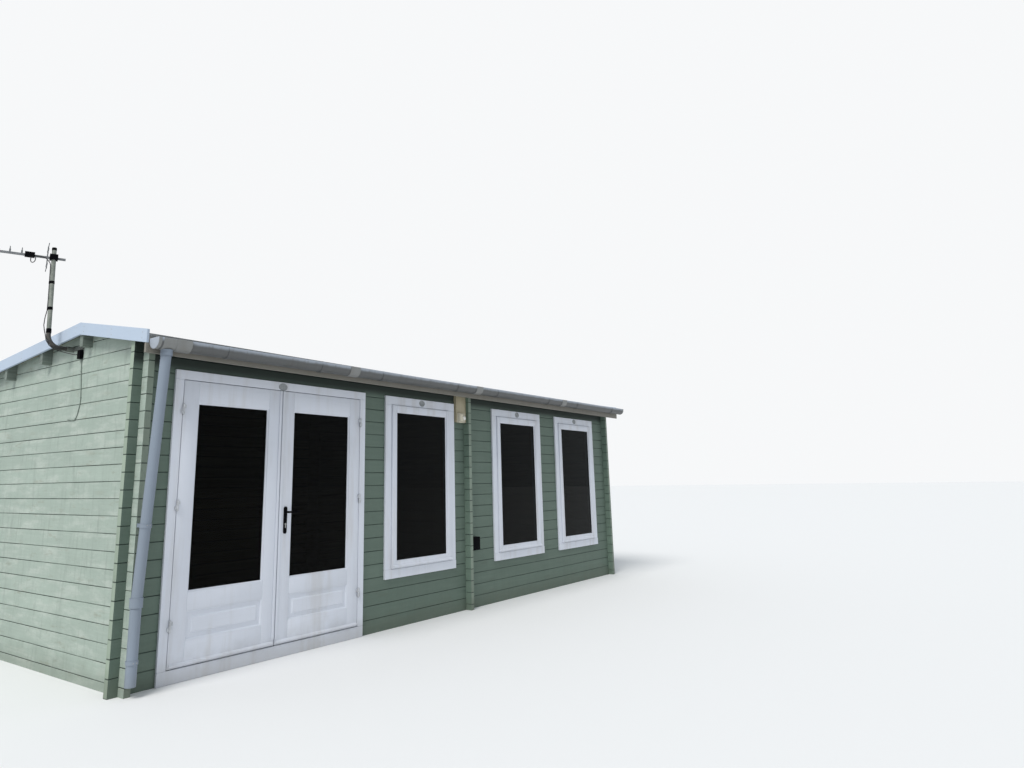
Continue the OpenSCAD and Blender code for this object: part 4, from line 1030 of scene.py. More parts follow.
def framed_opening(bm, lo, hi, trim, foot, stop_in, stop, face_y):
    """Trim boards on the wall's face, with a lining and a stop through it."""
    in0, in1, top = lo.x + trim, hi.x - trim, hi.z - trim
    stop_y, stop_back = FRONT_Y + stop_in, hi.y - STOP_SHORT
    for x0, x1 in ((lo.x, in0), (in1, hi.x)):
        board(bm, (x0, face_y, foot), (x1, FRONT_Y - SEAT, top - SEAT))
    board(bm, (lo.x, face_y, top), (hi.x, FRONT_Y - SEAT, hi.z))
    for x0, x1 in ((lo.x + TRIM_LAP, in0), (in1, hi.x - TRIM_LAP)):
        board(bm, (x0, FRONT_Y, foot), (x1, hi.y, hi.z - TRIM_LAP))
    board(bm, (in0 + SEAT, FRONT_Y, top), (in1 - SEAT, hi.y, hi.z - TRIM_LAP))
    for x0, x1 in ((in0, in0 + stop), (in1 - stop, in1)):
        board(bm, (x0, stop_y, foot), (x1, stop_back, top))
    board(bm, (in0 + stop + SEAT, stop_y, top - stop), (in1 - stop - SEAT, stop_back, top))


def build_door_frame():
    """The doorway's trim, lining and stops over a threshold in two parts."""
    lo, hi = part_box("door_frame")
    bm = new_piece()
    framed_opening(bm, lo, hi, DOOR_TRIM, THRESHOLD, DOOR_STOP_IN, DOOR_STOP, lo.y)
    board(bm, lo, (hi.x, FRONT_Y - SEAT, THRESHOLD - SEAT), 0.004)
    board(bm, (lo.x + TRIM_LAP, FRONT_Y, lo.z), (hi.x - TRIM_LAP, hi.y, THRESHOLD - SEAT))
    finish_piece(bm, "door_frame_boards", ["joinery"], "building", ["door_frame"])


def raised_field(bm, x0, x1, z0, z1, base_y, face_y):
    """A panel's raised field: a flat face with sloping borders that fall to the panel."""

    def ring(y, inset):
        a0, a1, b0, b1 = x0 + inset, x1 - inset, z0 + inset, z1 - inset
        return [bm.verts.new(p) for p in ((a0, y, b0), (a1, y, b0), (a1, y, b1), (a0, y, b1))]

    lower, upper = ring(base_y, 0.0), ring(face_y, FIELD_SLOPE)
    faces = [bm.faces.new(upper), bm.faces.new(list(reversed(lower)))]
    for i in range(4):
        j = (i + 1) % 4
        faces.append(bm.faces.new((lower[i], lower[j], upper[j], upper[i])))
    bmesh.ops.recalc_face_normals(bm, faces=faces)
    lay_grain(bm, faces, 0, z0 * 3.1)


def weather_bar(bm, x0, x1, face_y, out, z):
    """A drip moulding with a sloping top and a throat below, on the outer face of a bottom rail."""
    outline = [
        (0.0, 0.0), (0.45, 0.0), (0.5, 0.1), (0.65, 0.1), (0.7, 0.0), (1.0, 0.0), (1.0, 0.4), (0.0, 1.0)
    ]
    extruded(bm, [(face_y - out * a, z + BAR_RISE * b) for a, b in outline], x0, x1)


def framed_sheet(bm, lo, hi, face, x0, x1, rails, edge=None, segments=2):
    """Two stiles and the rails between them, given as pairs of heights, set back by a hair."""
    board(bm, (lo.x, face, lo.z), (x0 - TIGHT_SEAT, hi.y, hi.z), edge, segments)
    board(bm, (x1 + TIGHT_SEAT, face, lo.z), hi, edge, segments)
    for z0, z1 in rails:
        board(bm, (x0, face + TIGHT_SEAT, z0), (x1, hi.y - TIGHT_SEAT, z1), edge, segments)


def build_leaf(side):
    """One glazed leaf: stiles, rails, a fielded panel, beads, a meeting bead and a weather bar."""
    node = side + "_door_leaf"
    lo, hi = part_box(node)
    face = hi.y - LEAF_THICK
    glass_low, glass_top = 0.565, hi.z - 0.152
    panel_low, panel_top = lo.z + 0.160, glass_low - 0.120
    x0, x1 = lo.x + STILE, hi.x - STILE
    bm = new_piece()
    rails = [(glass_top, hi.z), (panel_top, glass_low), (lo.z, panel_low)]
    framed_sheet(bm, lo, hi, face, x0, x1, rails)
    middle = (face + hi.y) / 2
    board(
        bm,
        (x0 - 0.001, middle - PANEL_HALF, panel_low - 0.001),
        (x1 + 0.001, middle + PANEL_HALF, panel_top + 0.001),
        0,
    )
    field = (x0 + FIELD_MARGIN, x1 - FIELD_MARGIN, panel_low + FIELD_MARGIN, panel_top - FIELD_MARGIN)
    for sign in (-1, 1):
        raised_field(bm, *field, middle + sign * FIELD_FOOT, middle + sign * FIELD_FACE)
    weather_bar(bm, lo.x + 0.010, hi.x - 0.010, face, 0.012, lo.z + 0.012)
    bead_x = hi.x - MEETING_BEAD if side == "left" else lo.x
    board(bm, (bead_x, face - 0.006, lo.z + 0.044), (bead_x + MEETING_BEAD, face, hi.z), 0.004, 3)
    glass_lo, glass_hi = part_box(side + "_door_glass")
    for z0, z1, y, sign in (
        (glass_low, glass_top, glass_lo.y - SEAT, -1),
        (glass_low, glass_top, glass_hi.y + SEAT, 1),
        (panel_low, panel_top, middle - PANEL_HALF, -1),
        (panel_low, panel_top, middle + PANEL_HALF, 1),
    ):
        glazing_bead(bm, x0, x1, z0, z1, y, settings().joinery.bead, sign)
    finish_piece(bm, side + "_leaf_joinery", ["joinery"], side + "_door", [node], smooth=35)
    finish_node(side + "_door_glass", "glass")


def build_window(number):
    """One window: its boarded frame with a sill, and its sash with a weather bar and beads."""
    node = "window_%d_frame" % number
    lo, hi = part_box(node)
    bm = new_piece()
    foot = lo.z + WINDOW_TRIM
    stop = WINDOW_TRIM + WINDOW_STOP + STOP_SHORT
    framed_opening(bm, lo, hi, WINDOW_TRIM, foot, WINDOW_STOP_IN, WINDOW_STOP, FRONT_Y - 0.020)
    board(bm, lo, (hi.x, FRONT_Y - SEAT, foot - SEAT))
    board(bm, (lo.x + TRIM_LAP, FRONT_Y, lo.z + TRIM_LAP), (hi.x - TRIM_LAP, hi.y, foot - SEAT))
    board(
        bm,
        (lo.x + stop, FRONT_Y + WINDOW_STOP_IN, foot),
        (hi.x - stop, hi.y - STOP_SHORT, foot + WINDOW_STOP),
    )
    finish_piece(bm, "window_%d_boards" % number, ["joinery"], "building", [node])
    node = "window_%d_sash" % number
    lo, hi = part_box(node)
    bm = new_piece()
    face = hi.y - SASH_THICK
    x0, x1 = lo.x + SASH_RAIL, hi.x - SASH_RAIL
    z0, z1 = lo.z + SASH_RAIL, hi.z - SASH_RAIL
    framed_sheet(bm, lo, hi, face, x0, x1, [(z1, hi.z), (lo.z, z0)], 0.005, 3)
    weather_bar(bm, lo.x + 0.004, hi.x - 0.004, face, face - lo.y, lo.z + 0.012)
    pane_lo, pane_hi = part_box("window_panes")
    bead = settings().joinery.bead
    glazing_bead(bm, x0, x1, z0, z1, pane_lo.y - SEAT, bead * 0.8, -1)
    glazing_bead(bm, x0, x1, z0, z1, pane_hi.y + SEAT, bead, 1)
    finish_piece(
        bm, "window_%d_sash_joinery" % number, ["joinery"], "building", [node], smooth=35
    )


def build_discs():
    """Blank oval discs at the heads of the frames, slightly domed with a rim."""
    lo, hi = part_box("frame_discs")
    half, deep = (hi.z - lo.z) / 2, hi.y - lo.y
    profile = [
        (0.0, half),
        (deep * 0.8, half),
        (deep, half - 0.0012),
        (deep, half - 0.004),
        (deep * 0.6, half - 0.0055),
        (deep * 0.75, half * 0.5),
        (deep * 0.8, 0.0),
    ]
    bm = new_piece()
    for frame_node in ("door_frame", "window_1_frame", "window_2_frame", "window_3_frame"):
        frame_lo, frame_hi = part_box(frame_node)
        centre = Vector(((frame_lo.x + frame_hi.x) / 2, hi.y, (lo.z + hi.z) / 2))
        for v in verts_of(turned(bm, profile, centre, (0, -1, 0), 40)):
            v.co.x = centre.x + (v.co.x - centre.x) * DISC_HALF_LENGTH / half
        for side in (-1, 1):
            screw = centre + Vector((side * 0.030, -deep * 0.72, 0.0))
            domed_head(bm, screw, (0, -1, 0), 0.0028, deep * 0.25)
    finish_piece(bm, "frame_plaques", ["disc"], "building", ["frame_discs"], smooth=40)


def dress_hinges():
    """The hinges keep their shape and get their finish."""
    for node in ("frame_hinges", "left_leaf_hinges", "right_leaf_hinges"):
        finish_node(node, "hinge")


def build_handles():
    """A bent lever with a collar on each side, and the lock barrels and screws of the plates."""
    finish_node("handle_plates", "black")
    lo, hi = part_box("handle_plates")
    lever_lo, lever_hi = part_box("door_lever")
    x = (lo.x + hi.x) / 2
    z = (lever_lo.z + lever_hi.z) / 2
    front, back = lever_lo.y + 0.0085, lever_hi.y - 0.0085
    reach = lever_hi.x - x - 0.0085
    bm = new_piece()
    for y, wall, out in ((front, lo.y, -1), (back, hi.y, 1)):
        collar = [(0.0, 0.0115), (0.003, 0.0115), (0.006, 0.0085), (abs(y - wall), 0.0075)]
        turned(bm, collar, (x, wall + out * SEAT, z), (0, out, 0), 24)
        path = [
            (x, y + out * -0.012, z),
            (x, y + out * -0.004, z),
            (x + 0.004, y, z),
            (x + 0.03, y, z + 0.0005),
            (x + 0.065, y, z - 0.0005),
            (x + reach - 0.006, y, z),
            (x + reach, y - out * 0.003, z),
        ]
        tube_along(bm, path, LEVER_R, 16, smooth_steps=8)
    rod(bm, (x, lo.y + 0.001, z), (x, hi.y - 0.001, z), LEVER_R, 24)
    finish_piece(bm, "lever_grips", ["black"], "door_lever", ["door_lever"], smooth=40)
    bm = new_piece()
    for y, out in ((lo.y, -1), (hi.y, 1)):
        y0, y1 = y - out * 0.001, y + out * 0.0035
        rod(bm, (x, y0, z - 0.092), (x, y1, z - 0.092), 0.0085, 28, index=1)
        slot_lo, slot_hi = (x - 0.0042, min(y0, y1), z - 0.121), (x + 0.0042, max(y0, y1), z - 0.098)
        board(bm, slot_lo, slot_hi, 0.0015, index=1)
        for dz in (0.027, -0.147):
            domed_head(bm, (x, y, z + dz), (0, out, 0), 0.0038, 0.0014)
    finish_piece(bm, "lock_barrels", ["black", "zinc"], "right_door", smooth=40)


# Roof. The heights of its layers are measured from the underside of the roof boards.

FELT_LIFT, FELT_THICK, FELT_TOP = 0.0199, 0.0018, 0.0214
CAP_LIFT, CAP_THICK, CAP_TOP = 0.0228, 0.002, 0.0246
BOARD_THICK = 0.019
BARGE_FOOT, BARGE_HEAD = 0.043, 0.049
BARGE_JOINT, BARGE_SCREW = 0.0004, 0.0006
FASCIA_TOP, FASCIA_UNDER_BARGE = 0.0188, 0.0433


def roof_height(y):
    """Underside of the roof boards at a place across the building."""
    if y < RIDGE_Y:
        return RIDGE_Z - (RIDGE_Y - y) * FRONT_SLOPE
    return RIDGE_Z - (y - RIDGE_Y) * REAR_SLOPE


def felt_sheet(bm, x0, x1, y0, y1, lift, thick, seed, rows=16):
    """A sheet of felt that follows the roof with a little unevenness."""
    made = bmesh.ops.create_grid(bm, x_segments=90, y_segments=rows, size=0.5)
    for v in made["verts"]:
        x = x0 + (v.co.x + 0.5) * (x1 - x0)
        y = y0 + (v.co.y + 0.5) * (y1 - y0)
        swell = noise.noise(Vector((x * 1.7 + seed, y * 3.1, seed))) * 0.0005
        ripple = noise.noise(Vector((x * 6.0, y * 9.0 + seed, seed))) * 0.0002
        v.co = (x, y, roof_height(y) + lift + thick + swell + ripple)
    faces = list({f for v in made["verts"] for f in v.link_faces})
    bmesh.ops.solidify(bm, geom=faces, thickness=thick)


def felt_nail(bm, place, axis):
    domed_head(bm, place, axis, 0.005, 0.0008, 1)


def nail_places(lo, hi):
    """Places of the nails of one row along the roof."""
    x = lo.x + 0.05
    while x < hi.x - 0.03:
        yield x
        x += settings().roof.nail_pitch


def build_felt():
    """Felt in one sheet on the front slope, two on the rear and a cap on the ridge, with nails."""
    for node, y_out, sign, sheets in (
        ("front_felt", low("front_felt").y, -1, 1),
        ("rear_felt", high("rear_felt").y, 1, 2),
    ):
        lo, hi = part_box(node)
        bm = new_piece()
        edge, face = y_out - sign * 0.003, y_out - sign * 0.0009
        span = abs(RIDGE_Y - edge)
        for i in range(sheets):
            start = RIDGE_Y + sign * span * i / sheets
            end = RIDGE_Y + sign * span * (i + 1) / sheets
            y0, y1 = min(start, end), max(start, end)
            felt_sheet(bm, lo.x, hi.x, y0, y1, FELT_LIFT, FELT_THICK, 3.0 + i + sign)
        drop = roof_height(edge) + BOARD_THICK
        y0, y1 = min(edge, face), max(edge, face)
        board(bm, (lo.x, y0, drop - 0.022), (hi.x, y1, drop + 0.0026), 0.001)
        for x in nail_places(lo, hi):
            felt_nail(bm, (x, face, drop - 0.012), (0, sign, 0))
        steps = int(span / settings().roof.nail_pitch)
        for x in (lo.x + 0.018, hi.x - 0.018):
            for k in range(1, steps):
                y = RIDGE_Y + sign * span * k / steps
                felt_nail(bm, (x, y, roof_height(y) + FELT_TOP), (0, 0, 1))
        finish_piece(bm, node + "_sheets", ["felt", "zinc"], "building", [node], smooth=30)
    lo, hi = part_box("ridge_felt")
    bm = new_piece()
    felt_sheet(bm, lo.x, hi.x, lo.y, RIDGE_Y, CAP_LIFT, CAP_THICK, 5.0, 5)
    felt_sheet(bm, lo.x, hi.x, RIDGE_Y, hi.y, CAP_LIFT, CAP_THICK, 6.0, 5)
    for x in nail_places(lo, hi):
        for y in (lo.y + 0.02, hi.y - 0.02):
            felt_nail(bm, (x, y, roof_height(y) + CAP_TOP), (0, 0, 1))
    finish_piece(bm, "ridge_capping", ["felt", "zinc"], "building", ["ridge_felt"], smooth=30)


def build_barges():
    """Bargeboards with plumb ends, mitred over the ridge, and their screws."""
    for side, out in (("left", -1), ("right", 1)):
        node = side + "_bargeboards"
        lo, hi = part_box(node)
        bm = new_piece()
        x0, x1 = (lo.x + BARGE_SCREW, hi.x) if out < 0 else (lo.x, hi.x - BARGE_SCREW)
        face = x0 if out < 0 else x1
        for y0, y1 in ((lo.y, RIDGE_Y - BARGE_JOINT), (RIDGE_Y + BARGE_JOINT, hi.y)):
            z0, z1 = roof_height(y0), roof_height(y1)
            outline = [
                (y0, z0 - BARGE_FOOT), (y1, z1 - BARGE_FOOT), (y1, z1 + BARGE_HEAD), (y0, z0 + BARGE_HEAD)
            ]
            faces = extruded(bm, outline, x0, x1, 0.0022)
            lay_grain(bm, faces, 1, y0 * 2.0)
            count = 3 if y1 - y0 < 1.2 else 5
            for k in range(count):
                y = y0 + 0.06 + (y1 - y0 - 0.12) * k / (count - 1)
                for dz in (-0.018, 0.022):
                    domed_head(bm, (face, y, roof_height(y) + dz), (out, 0, 0), 0.0036, BARGE_SCREW, 1)
        finish_piece(bm, side + "_barge_boards", ["barge", "zinc"], "building", [node])


def build_fascias():
    """Eaves boards with shortened tops under the feet of the bargeboards."""
    x0, x1 = low("front_roof_boards").x, high("front_roof_boards").x
    joint = (x0 + x1) / 2
    for node in ("front_fascia", "rear_fascia"):
        lo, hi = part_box(node)
        z0, z1 = roof_height(lo.y), roof_height(hi.y)
        foot = min(z0, z1) - FASCIA_UNDER_BARGE
        bm = new_piece()
        outline = [(lo.y, lo.z), (hi.y, lo.z), (hi.y, z1 + FASCIA_TOP), (lo.y, z0 + FASCIA_TOP)]
        extruded(bm, outline, x0 + SEAT, joint - BARGE_JOINT, 0.0015)
        extruded(bm, outline, joint + BARGE_JOINT, x1 - SEAT, 0.0015)
        board(bm, lo, (x0, hi.y, foot), 0.0015)
        board(bm, (x1, lo.y, lo.z), (hi.x, hi.y, foot), 0.0015)
        finish_piece(bm, node + "_boards", ["fascia"], "building", [node])


def dress_roof_timber():
    finish_node("purlins", "purlin")
    finish_node("front_roof_boards", "roof_boards")
    finish_node("rear_roof_boards", "roof_boards")


# Rainwater goods

GUTTER_KEYS = ["gutter", "gutter_trim", "pipe", "gutter_strap"]
TRIM_INDEX, PIPE_INDEX, STRAP_INDEX = 1, 2, 3
JOINT_GAP = 0.003
RIM_R = 0.0045
CAP_IN, CAP_OUT = 0.0002, 0.0025
END_COLLAR = 0.022
STRAP_HALF, RIB_WIDTH = 0.0545, 0.008
STRAP_R, RIB_R = (0.0564, 0.0582), (0.0580, 0.0589)


def trough_height():
    """Height of the trough's round part at the outlet."""
    return low("gutter_outlet").z + 0.094


def trough_outline(radius, side, base_y, round_z, steps=20):
    """Half-round with straight sides, from rim to rim."""
    points = [(base_y - radius, round_z + side)]
    for k in range(steps + 1):
        angle = math.pi + math.pi * k / steps
        points.append((base_y + radius * math.cos(angle), round_z + radius * math.sin(angle)))
    points.append((base_y + radius, round_z + side))
    return points


def band(bm, y, z, radii, x0, x1, index=0):
    """A strap around the trough, between two radii."""
    inner, outer = (trough_outline(radius, GUTTER_SIDE, y, z) for radius in radii)
    extruded(bm, outer + list(reversed(inner)), x0, x1, index=index)


def gutter_length(bm, y, z, x0, x1):
    """One length of gutter between two places along the front, with its rolled rims."""
    band(bm, y, z, (GUTTER_R - GUTTER_WALL, GUTTER_R), x0, x1)
    rim_z = z + GUTTER_SIDE - RIM_R
    for rim_y in (y - RIM_REACH + RIM_R, y + RIM_REACH - RIM_R):
        rod(bm, (x0, rim_y, rim_z), (x1, rim_y, rim_z), RIM_R, 12, TRIM_INDEX)


def lay_to_fall(bm, z):
    """Turns a level piece of gutter to its fall of 4.5 mm a metre, about the outlet."""
    turn = Matrix.Rotation(-math.atan(GUTTER_FALL), 3, "Y")
    bmesh.ops.rotate(bm, cent=(at(PIPE_X, 0, 0).x, 0.0, z), matrix=turn, verts=bm.verts)


def stop_end(bm, y, z, x0, x1, step):
    """A closed end: a disc with a turned edge, and a collar that goes step over the trough."""
    cap = trough_outline(RIM_REACH, GUTTER_SIDE - CAP_IN, y, z)
    extruded(bm, cap, x0, x1, 0.0008, TRIM_INDEX)
    start = x1 if step > 0 else x0
    band(bm, y, z, COLLAR_R, min(start, start + step), max(start, start + step), STRAP_INDEX)


def build_gutter():
    """Four lengths laid to a fall, straps over their joints and an outlet with a stop end."""
    lo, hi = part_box("gutter_outlet")
    y, z = (lo.y + hi.y) / 2, trough_height()
    joints = [at(x, 0, 0).x for x in GUTTER_JOINTS]
    start, end = (at(x, 0, 0).x for x in GUTTER_ENDS)
    outlet_x = at(PIPE_X, 0, 0).x
    bm = new_piece()
    gutter_length(bm, y, z, start + CAP_OUT, joints[0] - JOINT_GAP)
    stop_end(bm, y, z, start + CAP_IN, start + CAP_IN + CAP_OUT, END_COLLAR)
    band(bm, y, z, COLLAR_R, outlet_x - 0.052, outlet_x + 0.052, STRAP_INDEX)
    spigot = [
        (0.0, 0.0372),
        (0.0, 0.0389),
        (0.022, 0.0389),
        (0.0235, 0.0382),
        (0.0415, 0.0386),
        (0.0415, 0.0372),
        (0.0, 0.0372),
    ]
    turned(bm, [(lo.z + SEAT + a, r) for a, r in spigot], (outlet_x, y, 0.0), (0, 0, 1), 40, PIPE_INDEX)
    lay_to_fall(bm, z)
    finish_piece(bm, "outlet_piece", GUTTER_KEYS, "building", ["gutter_outlet"], smooth=40)
    bm = new_piece()
    ends = [x - JOINT_GAP for x in joints[1:]] + [end]
    for x0, x1 in zip(joints, ends):
        gutter_length(bm, y, z, x0 + JOINT_GAP, x1)
    stop_end(bm, y, z, end - CAP_IN, end + 0.0022, -END_COLLAR)
    lay_to_fall(bm, z)
    finish_piece(bm, "gutter_lengths", GUTTER_KEYS, "building", ["gutter"], smooth=40)
    bm = new_piece()
    for x in joints:
        band(bm, y, z, STRAP_R, x - STRAP_HALF, x + STRAP_HALF)
        for edge in (x - STRAP_HALF, x + STRAP_HALF - RIB_WIDTH):
            band(bm, y, z, RIB_R, edge, edge + RIB_WIDTH)
        for side in (-1, 1):
            wall_y = y + side * 0.0576
            board(
                bm,
                (x - 0.020, wall_y - 0.0012, z + GUTTER_SIDE - 0.012),
                (x + 0.020, wall_y + 0.0012, z + GUTTER_SIDE - 0.0004),
                0.0008,
            )
    lay_to_fall(bm, z)
    finish_piece(bm, "gutter_straps", ["gutter_strap"], "building", ["gutter_unions"], smooth=40)
    finish_node("gutter_brackets", "gutter")


def build_downpipe():
    """The pipe keeps its shape. Its clips get screws, and its socket two turned rings."""
    for node in ("downpipe_head", "downpipe", "pipe_clips"):
        finish_node(node, "pipe")
    pipe = at(PIPE_X, -108, 0)
    bm = new_piece()
    for z in (0.5335, 0.5865):
        ring = [(-0.003, 0.0402), (-0.002, 0.0411), (0.002, 0.0411), (0.003, 0.0402)]
        turned(bm, [(z + a, r) for a, r in ring], pipe, (0, 0, 1), 40)
    lo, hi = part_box("pipe_clips")
    for z, y in ((lo.z + 0.012, pipe.y - 0.038), (hi.z - 0.012, lo.y)):
        for side in (-1, 1):
            x = pipe.x + side * 0.0105
            rod(bm, (x, y + 0.0022, z), (x, y + 0.0008, z), 0.0032, 12, 1)
    finish_piece(bm, "pipe_rings", ["pipe", "zinc"], "building", smooth=40)


# Fittings

LENS_R = 0.0272


def plastic_box(bm, lo, hi, axis, share, round_r):
    """A moulded box in two shells, parted by a groove. The lid faces the low end of the axis."""
    lo, hi = Vector(lo), Vector(hi)
    groove = 0.0016
    part = lo[axis] + (hi[axis] - lo[axis]) * share
    lid_hi, base_lo = hi.copy(), lo.copy()
    lid_hi[axis], base_lo[axis] = part - groove / 2, part + groove / 2
    board(bm, lo, lid_hi, round_r, 4)
    board(bm, base_lo, hi, round_r, 4)
    inset = Vector([0.0025 if i != axis else 0.0 for i in range(3)])
    core_lo, core_hi = lo + inset, hi - inset
    core_lo[axis], core_hi[axis] = part - groove, part + groove
    board(bm, core_lo, core_hi, 0.001)


def build_fittings():
    """The plain board, the sensor with its lens, the outdoor socket and the joint box."""
    finish_node("sensor_board", "sensor_board")
    finish_node("movement_sensor", "cream", "lens")
    lo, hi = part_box("movement_sensor")

    def on_lens(face):
        x, y, z = face.center
        round_part = (x - (hi.x - 0.028)) ** 2 + (z - (lo.z + hi.z) / 2) ** 2 < LENS_R**2
        return round_part and y < hi.y - 0.0405 and x > (lo.x + hi.x) / 2 + 0.001

    second_finish("movement_sensor", on_lens)
    lo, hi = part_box("outdoor_socket")
    bm = new_piece()
    plastic_box(bm, lo, hi, 1, 0.42, 0.005)
    middle = (lo.x + hi.x) / 2
    catch_lo = (middle - 0.016, lo.y + 0.018, lo.z + 0.0004)
    catch_hi = (middle + 0.016, lo.y + 0.030, lo.z + 0.0075)
    board(bm, catch_lo, catch_hi, 0.0015)
    finish_piece(bm, "socket_box", ["black"], "building", ["outdoor_socket"], smooth=40)
    bm = new_piece()
    plastic_box(bm, *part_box("cable_box"), 0, 0.35, 0.003)
    finish_piece(bm, "joint_box", ["black"], "building", ["cable_box"], smooth=40)


# Aerial

MAST_R = 0.016
TAPES = ((2817, 0.022, 0.0012), (2609, 0.024, 0.0012), (2434, 0.034, 0.0022), (3088, 0.020, 0.001))
LEAD_TAPES = (2817, 2609)
LEAD_BESIDE_MAST = Vector((-0.013, 0.0166, 0.0))
CLIPS = ((908, 1767.6), (857.5, 1828), (838.6, 1930), (869, 2130))
LOOP = ((-322, 1152, 3010), (-326, 1153, 2992), (-318, 1149, 2966), (-304, 1144, 2972), (-296, 1141, 3008))


def on_mast(z):
    """The middle of the leaning mast at a height."""
    return at(-MAST_REACH, MAST_Y + (z - ARM_Z) * math.tan(MAST_LEAN), z)


def darken_boxes(node):
    """Puts the second finish on the clamp and the dipole box of the aerial."""
    heading = Vector((math.cos(BOOM_HEADING), math.sin(BOOM_HEADING), 0.0))
    foot, vertices = on_mast(BOOM_Z), NODES[node].data.vertices

    def in_box(face):
        reaches = [vertices[i].co - foot for i in face.vertices]
        along = [reach.dot(heading) for reach in reaches]
        in_clamp = all(abs(s) < 0.030 for s in along) and max(abs(r.z) for r in reaches) > 0.0205
        return in_clamp or all(abs(s - DIPOLE_S / 1000) < 0.034 for s in along)

    second_finish(node, in_box)


def build_aerial():
    """The bent mast with its bracket and tape, the aerial, and the cable with its loop and clips."""
    finish_node("mast_bracket", "steel")
    finish_node("mast", "mast")
    finish_node("aerial", "alloy", "black")
    darken_boxes("aerial")
    finish_node("aerial_cable", "cable")
    axis = Vector((0.0, math.sin(MAST_LEAN), math.cos(MAST_LEAN)))
    bm = new_piece()
    for z, wide, thick in TAPES:
        half = wide / 2
        ring = [
            (-half, 0.0),
            (-half, thick * 0.7),
            (-half + 0.002, thick),
            (half - 0.002, thick),
            (half, thick * 0.7),
            (half, 0.0),
        ]
        turned(bm, [(along, MAST_R + r) for along, r in ring], on_mast(z), axis, 32)
        if z in LEAD_TAPES:
            wrap = [(along, 0.0035 + r) for along, r in ring]
            turned(bm, wrap, on_mast(z) + LEAD_BESIDE_MAST, axis, 16)
    finish_piece(bm, "mast_tape", ["black"], "building", smooth=40)
    bm = new_piece()
    lo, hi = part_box("mast_bracket")
    middle = (lo.z + hi.z) / 2
    for y in (885, MAST_Y + 22):
        face = at(-8, y, 0)
        for start, end, radius, sides in (
            (0.0005, 0.0012, 0.0095, 24),
            (0.0, 0.0055, 0.0062, 6),
            (0.0, 0.0080, 0.0030, 12),
        ):
            rod(bm, (face.x + start, face.y, middle), (face.x - end, face.y, middle), radius, sides)
    finish_piece(bm, "bracket_bolts", ["zinc"], "building", smooth=30)
    bm = new_piece()
    for y, z in CLIPS:
        spot = at(-3.8, y, z)
        clip_lo = (spot.x - 0.0046, spot.y - 0.006, spot.z - 0.003)
        board(bm, clip_lo, (WALL_X[0] - 0.0002, spot.y + 0.006, spot.z + 0.003), 0.0012)
    tube_along(bm, [at(*point) for point in LOOP], 0.0034)
    finish_piece(bm, "cable_clips", ["cable"], "building", smooth=40)


# Stage. The camera is the one that was fitted to the photograph, in its picture of 1024 by 768.

PICTURE = (1024.0, 768.0)
PICTURE_CENTRE = (464.0289, 333.9191)
EYE = (-5.9821, -5.8471, 1.2657)
EYE_YAW, EYE_PITCH, EYE_ROLL = (math.radians(angle) for angle in (-53.2551, 11.8081, -0.9199))


def build_world(scene, fill):
    """Soft light from all round. The camera, glass and mirrors see a paler sky."""
    scene.world = bpy.data.worlds.new("studio")
    scene.world.use_nodes = True
    scene.world.node_tree.nodes.clear()
    g = Graph(scene.world.node_tree)
    light = g.add("ShaderNodeBackground", {"Color": (0.86, 0.93, 1.0, 1.0), "Strength": fill})
    back = g.add("ShaderNodeBackground", {"Color": (0.93, 0.94, 0.95, 1.0), "Strength": 1.0})
    path = g.add("ShaderNodeLightPath").outputs
    seen = g.math("MAXIMUM", path["Is Camera Ray"], path["Is Transmission Ray"])
    seen = g.math("MAXIMUM", seen, g.times(path["Is Glossy Ray"], 0.3))
    mixed = g.add("ShaderNodeMixShader", {0: seen, 1: light.outputs[0], 2: back.outputs[0]})
    g.add("ShaderNodeOutputWorld", {"Surface": mixed.outputs[0]})


def build_stage():
    """A plain floor, two suns, the light from all round and the camera."""
    stage = settings().stage
    scene = bpy.context.scene
    bm = bmesh.new()
    bmesh.ops.create_grid(bm, x_segments=1, y_segments=1, size=150.0)
    floor = mesh_object(bm, "floor", ["floor_plain"])
    build_world(scene, stage.fill)

    for name, energy, spread, colour, tilt, heading in (
        ("key", stage.key, 24, (1.0, 0.985, 0.95), 42.3, -79.0),
        ("sky", stage.soft, 150, (0.93, 0.96, 1.0), 48.0, -18.0),
    ):
        sun = bpy.data.lights.new(name, "SUN")
        sun.energy = energy
        sun.angle = math.radians(spread)
        sun.color = colour
        add_object(name, sun).rotation_euler = (math.radians(tilt), 0.0, math.radians(heading))

    camera = bpy.data.cameras.new("camera")
    camera.sensor_width = 36.0
    camera.lens = stage.lens
    camera.shift_x = (PICTURE[0] / 2 - PICTURE_CENTRE[0]) / PICTURE[0]
    camera.shift_y = (PICTURE_CENTRE[1] - PICTURE[1] / 2) / PICTURE[0]
    camera.clip_end = 500.0
    eye = add_object("camera", camera)
    tilted = Matrix.Rotation(EYE_YAW, 4, "Z") @ Matrix.Rotation(math.pi / 2 + EYE_PITCH, 4, "X")
    eye.matrix_world = Matrix.Translation(EYE) @ (tilted @ Matrix.Rotation(EYE_ROLL, 4, "Z"))
    scene.camera = eye
    scene.view_settings.view_transform = "Standard"


# Operators, one for each group of pieces and one for the stage


class PodOperator:
    bl_options = {"REGISTER", "UNDO"}


class POD_OT_walls(PodOperator, bpy.types.Operator):
    """Paint the log walls and finish the floor"""

    bl_idname = "garden_pod.walls"
    bl_label = "Log walls"

    def execute(self, context):
        dress_walls()
        return {"FINISHED"}


class POD_OT_doors(PodOperator, bpy.types.Operator):
    """Build the door frame, the two leaves and the handles, and finish the hinges"""

    bl_idname = "garden_pod.doors"
    bl_label = "Double doors"

    def execute(self, context):
        build_door_frame()
        build_leaf("left")
        build_leaf("right")
        dress_hinges()
        build_handles()
        return {"FINISHED"}


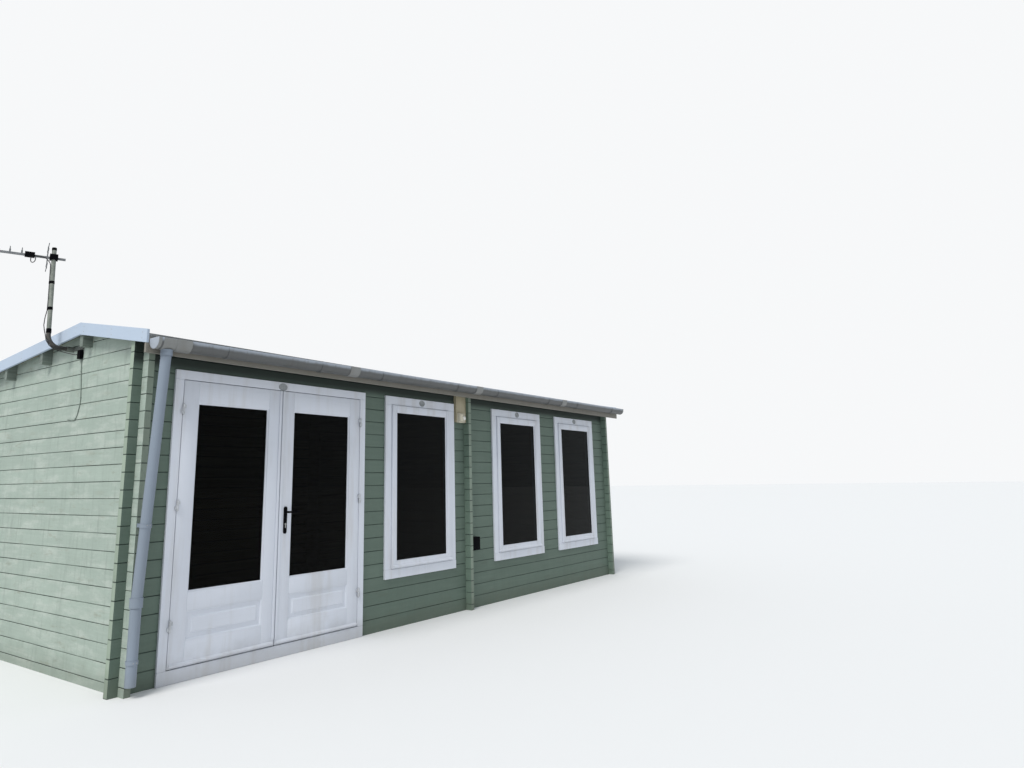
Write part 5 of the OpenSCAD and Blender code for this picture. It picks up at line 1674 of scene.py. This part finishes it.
class POD_OT_windows(PodOperator, bpy.types.Operator):
    """Build the three windows, their panes and the blank discs"""

    bl_idname = "garden_pod.windows"
    bl_label = "Windows"

    def execute(self, context):
        for number in (1, 2, 3):
            build_window(number)
        finish_node("window_panes", "glass")
        build_discs()
        return {"FINISHED"}


class POD_OT_roof(PodOperator, bpy.types.Operator):
    """Build the felt, the bargeboards and the eaves boards"""

    bl_idname = "garden_pod.roof"
    bl_label = "Roof"

    def execute(self, context):
        dress_roof_timber()
        build_felt()
        build_barges()
        build_fascias()
        return {"FINISHED"}


class POD_OT_rainwater(PodOperator, bpy.types.Operator):
    """Build the gutter and the downpipe"""

    bl_idname = "garden_pod.rainwater"
    bl_label = "Rainwater goods"

    def execute(self, context):
        build_gutter()
        build_downpipe()
        return {"FINISHED"}


class POD_OT_fittings(PodOperator, bpy.types.Operator):
    """Build the movement sensor, the outdoor socket and the joint box"""

    bl_idname = "garden_pod.fittings"
    bl_label = "Wall fittings"

    def execute(self, context):
        build_fittings()
        return {"FINISHED"}


class POD_OT_aerial(PodOperator, bpy.types.Operator):
    """Build the mast, the aerial and its cable"""

    bl_idname = "garden_pod.aerial"
    bl_label = "Aerial"

    def execute(self, context):
        build_aerial()
        return {"FINISHED"}


class POD_OT_stage(PodOperator, bpy.types.Operator):
    """Lay the floor, the lights and the camera"""

    bl_idname = "garden_pod.stage"
    bl_label = "Stage"

    def execute(self, context):
        build_stage()
        return {"FINISHED"}


OPERATORS = [
    POD_OT_stage,
    POD_OT_walls,
    POD_OT_doors,
    POD_OT_windows,
    POD_OT_roof,
    POD_OT_rainwater,
    POD_OT_fittings,
    POD_OT_aerial,
]


class POD_PT_panel(bpy.types.Panel):
    """Lists the pod's settings and its parts"""

    bl_idname = "POD_PT_panel"
    bl_label = "Garden office pod"
    bl_space_type = "VIEW_3D"
    bl_region_type = "UI"
    bl_category = "Garden pod"

    def draw(self, context):
        pod = context.scene.garden_pod
        for title in ("walls", "joinery", "roof", "fittings", "stage"):
            box = self.layout.box()
            box.label(text=title.capitalize())
            group = getattr(pod, title)
            for name in group.bl_rna.properties.keys():
                if name not in ("rna_type", "name"):
                    box.prop(group, name)
        for operator in OPERATORS:
            self.layout.operator(operator.bl_idname)


CLASSES = [
    LogWallSettings,
    JoinerySettings,
    RoofSettings,
    FittingSettings,
    StageSettings,
    PodSettings,
    *OPERATORS,
    POD_PT_panel,
]


def register():
    for each in CLASSES:
        bpy.utils.register_class(each)
    bpy.types.Scene.garden_pod = PointerProperty(type=PodSettings)


def unregister():
    del bpy.types.Scene.garden_pod
    for each in reversed(CLASSES):
        bpy.utils.unregister_class(each)


def main():
    register()
    for operator in OPERATORS:
        group, name = operator.bl_idname.split(".")
        getattr(getattr(bpy.ops, group), name)()


if __name__ == "__main__":
    main()
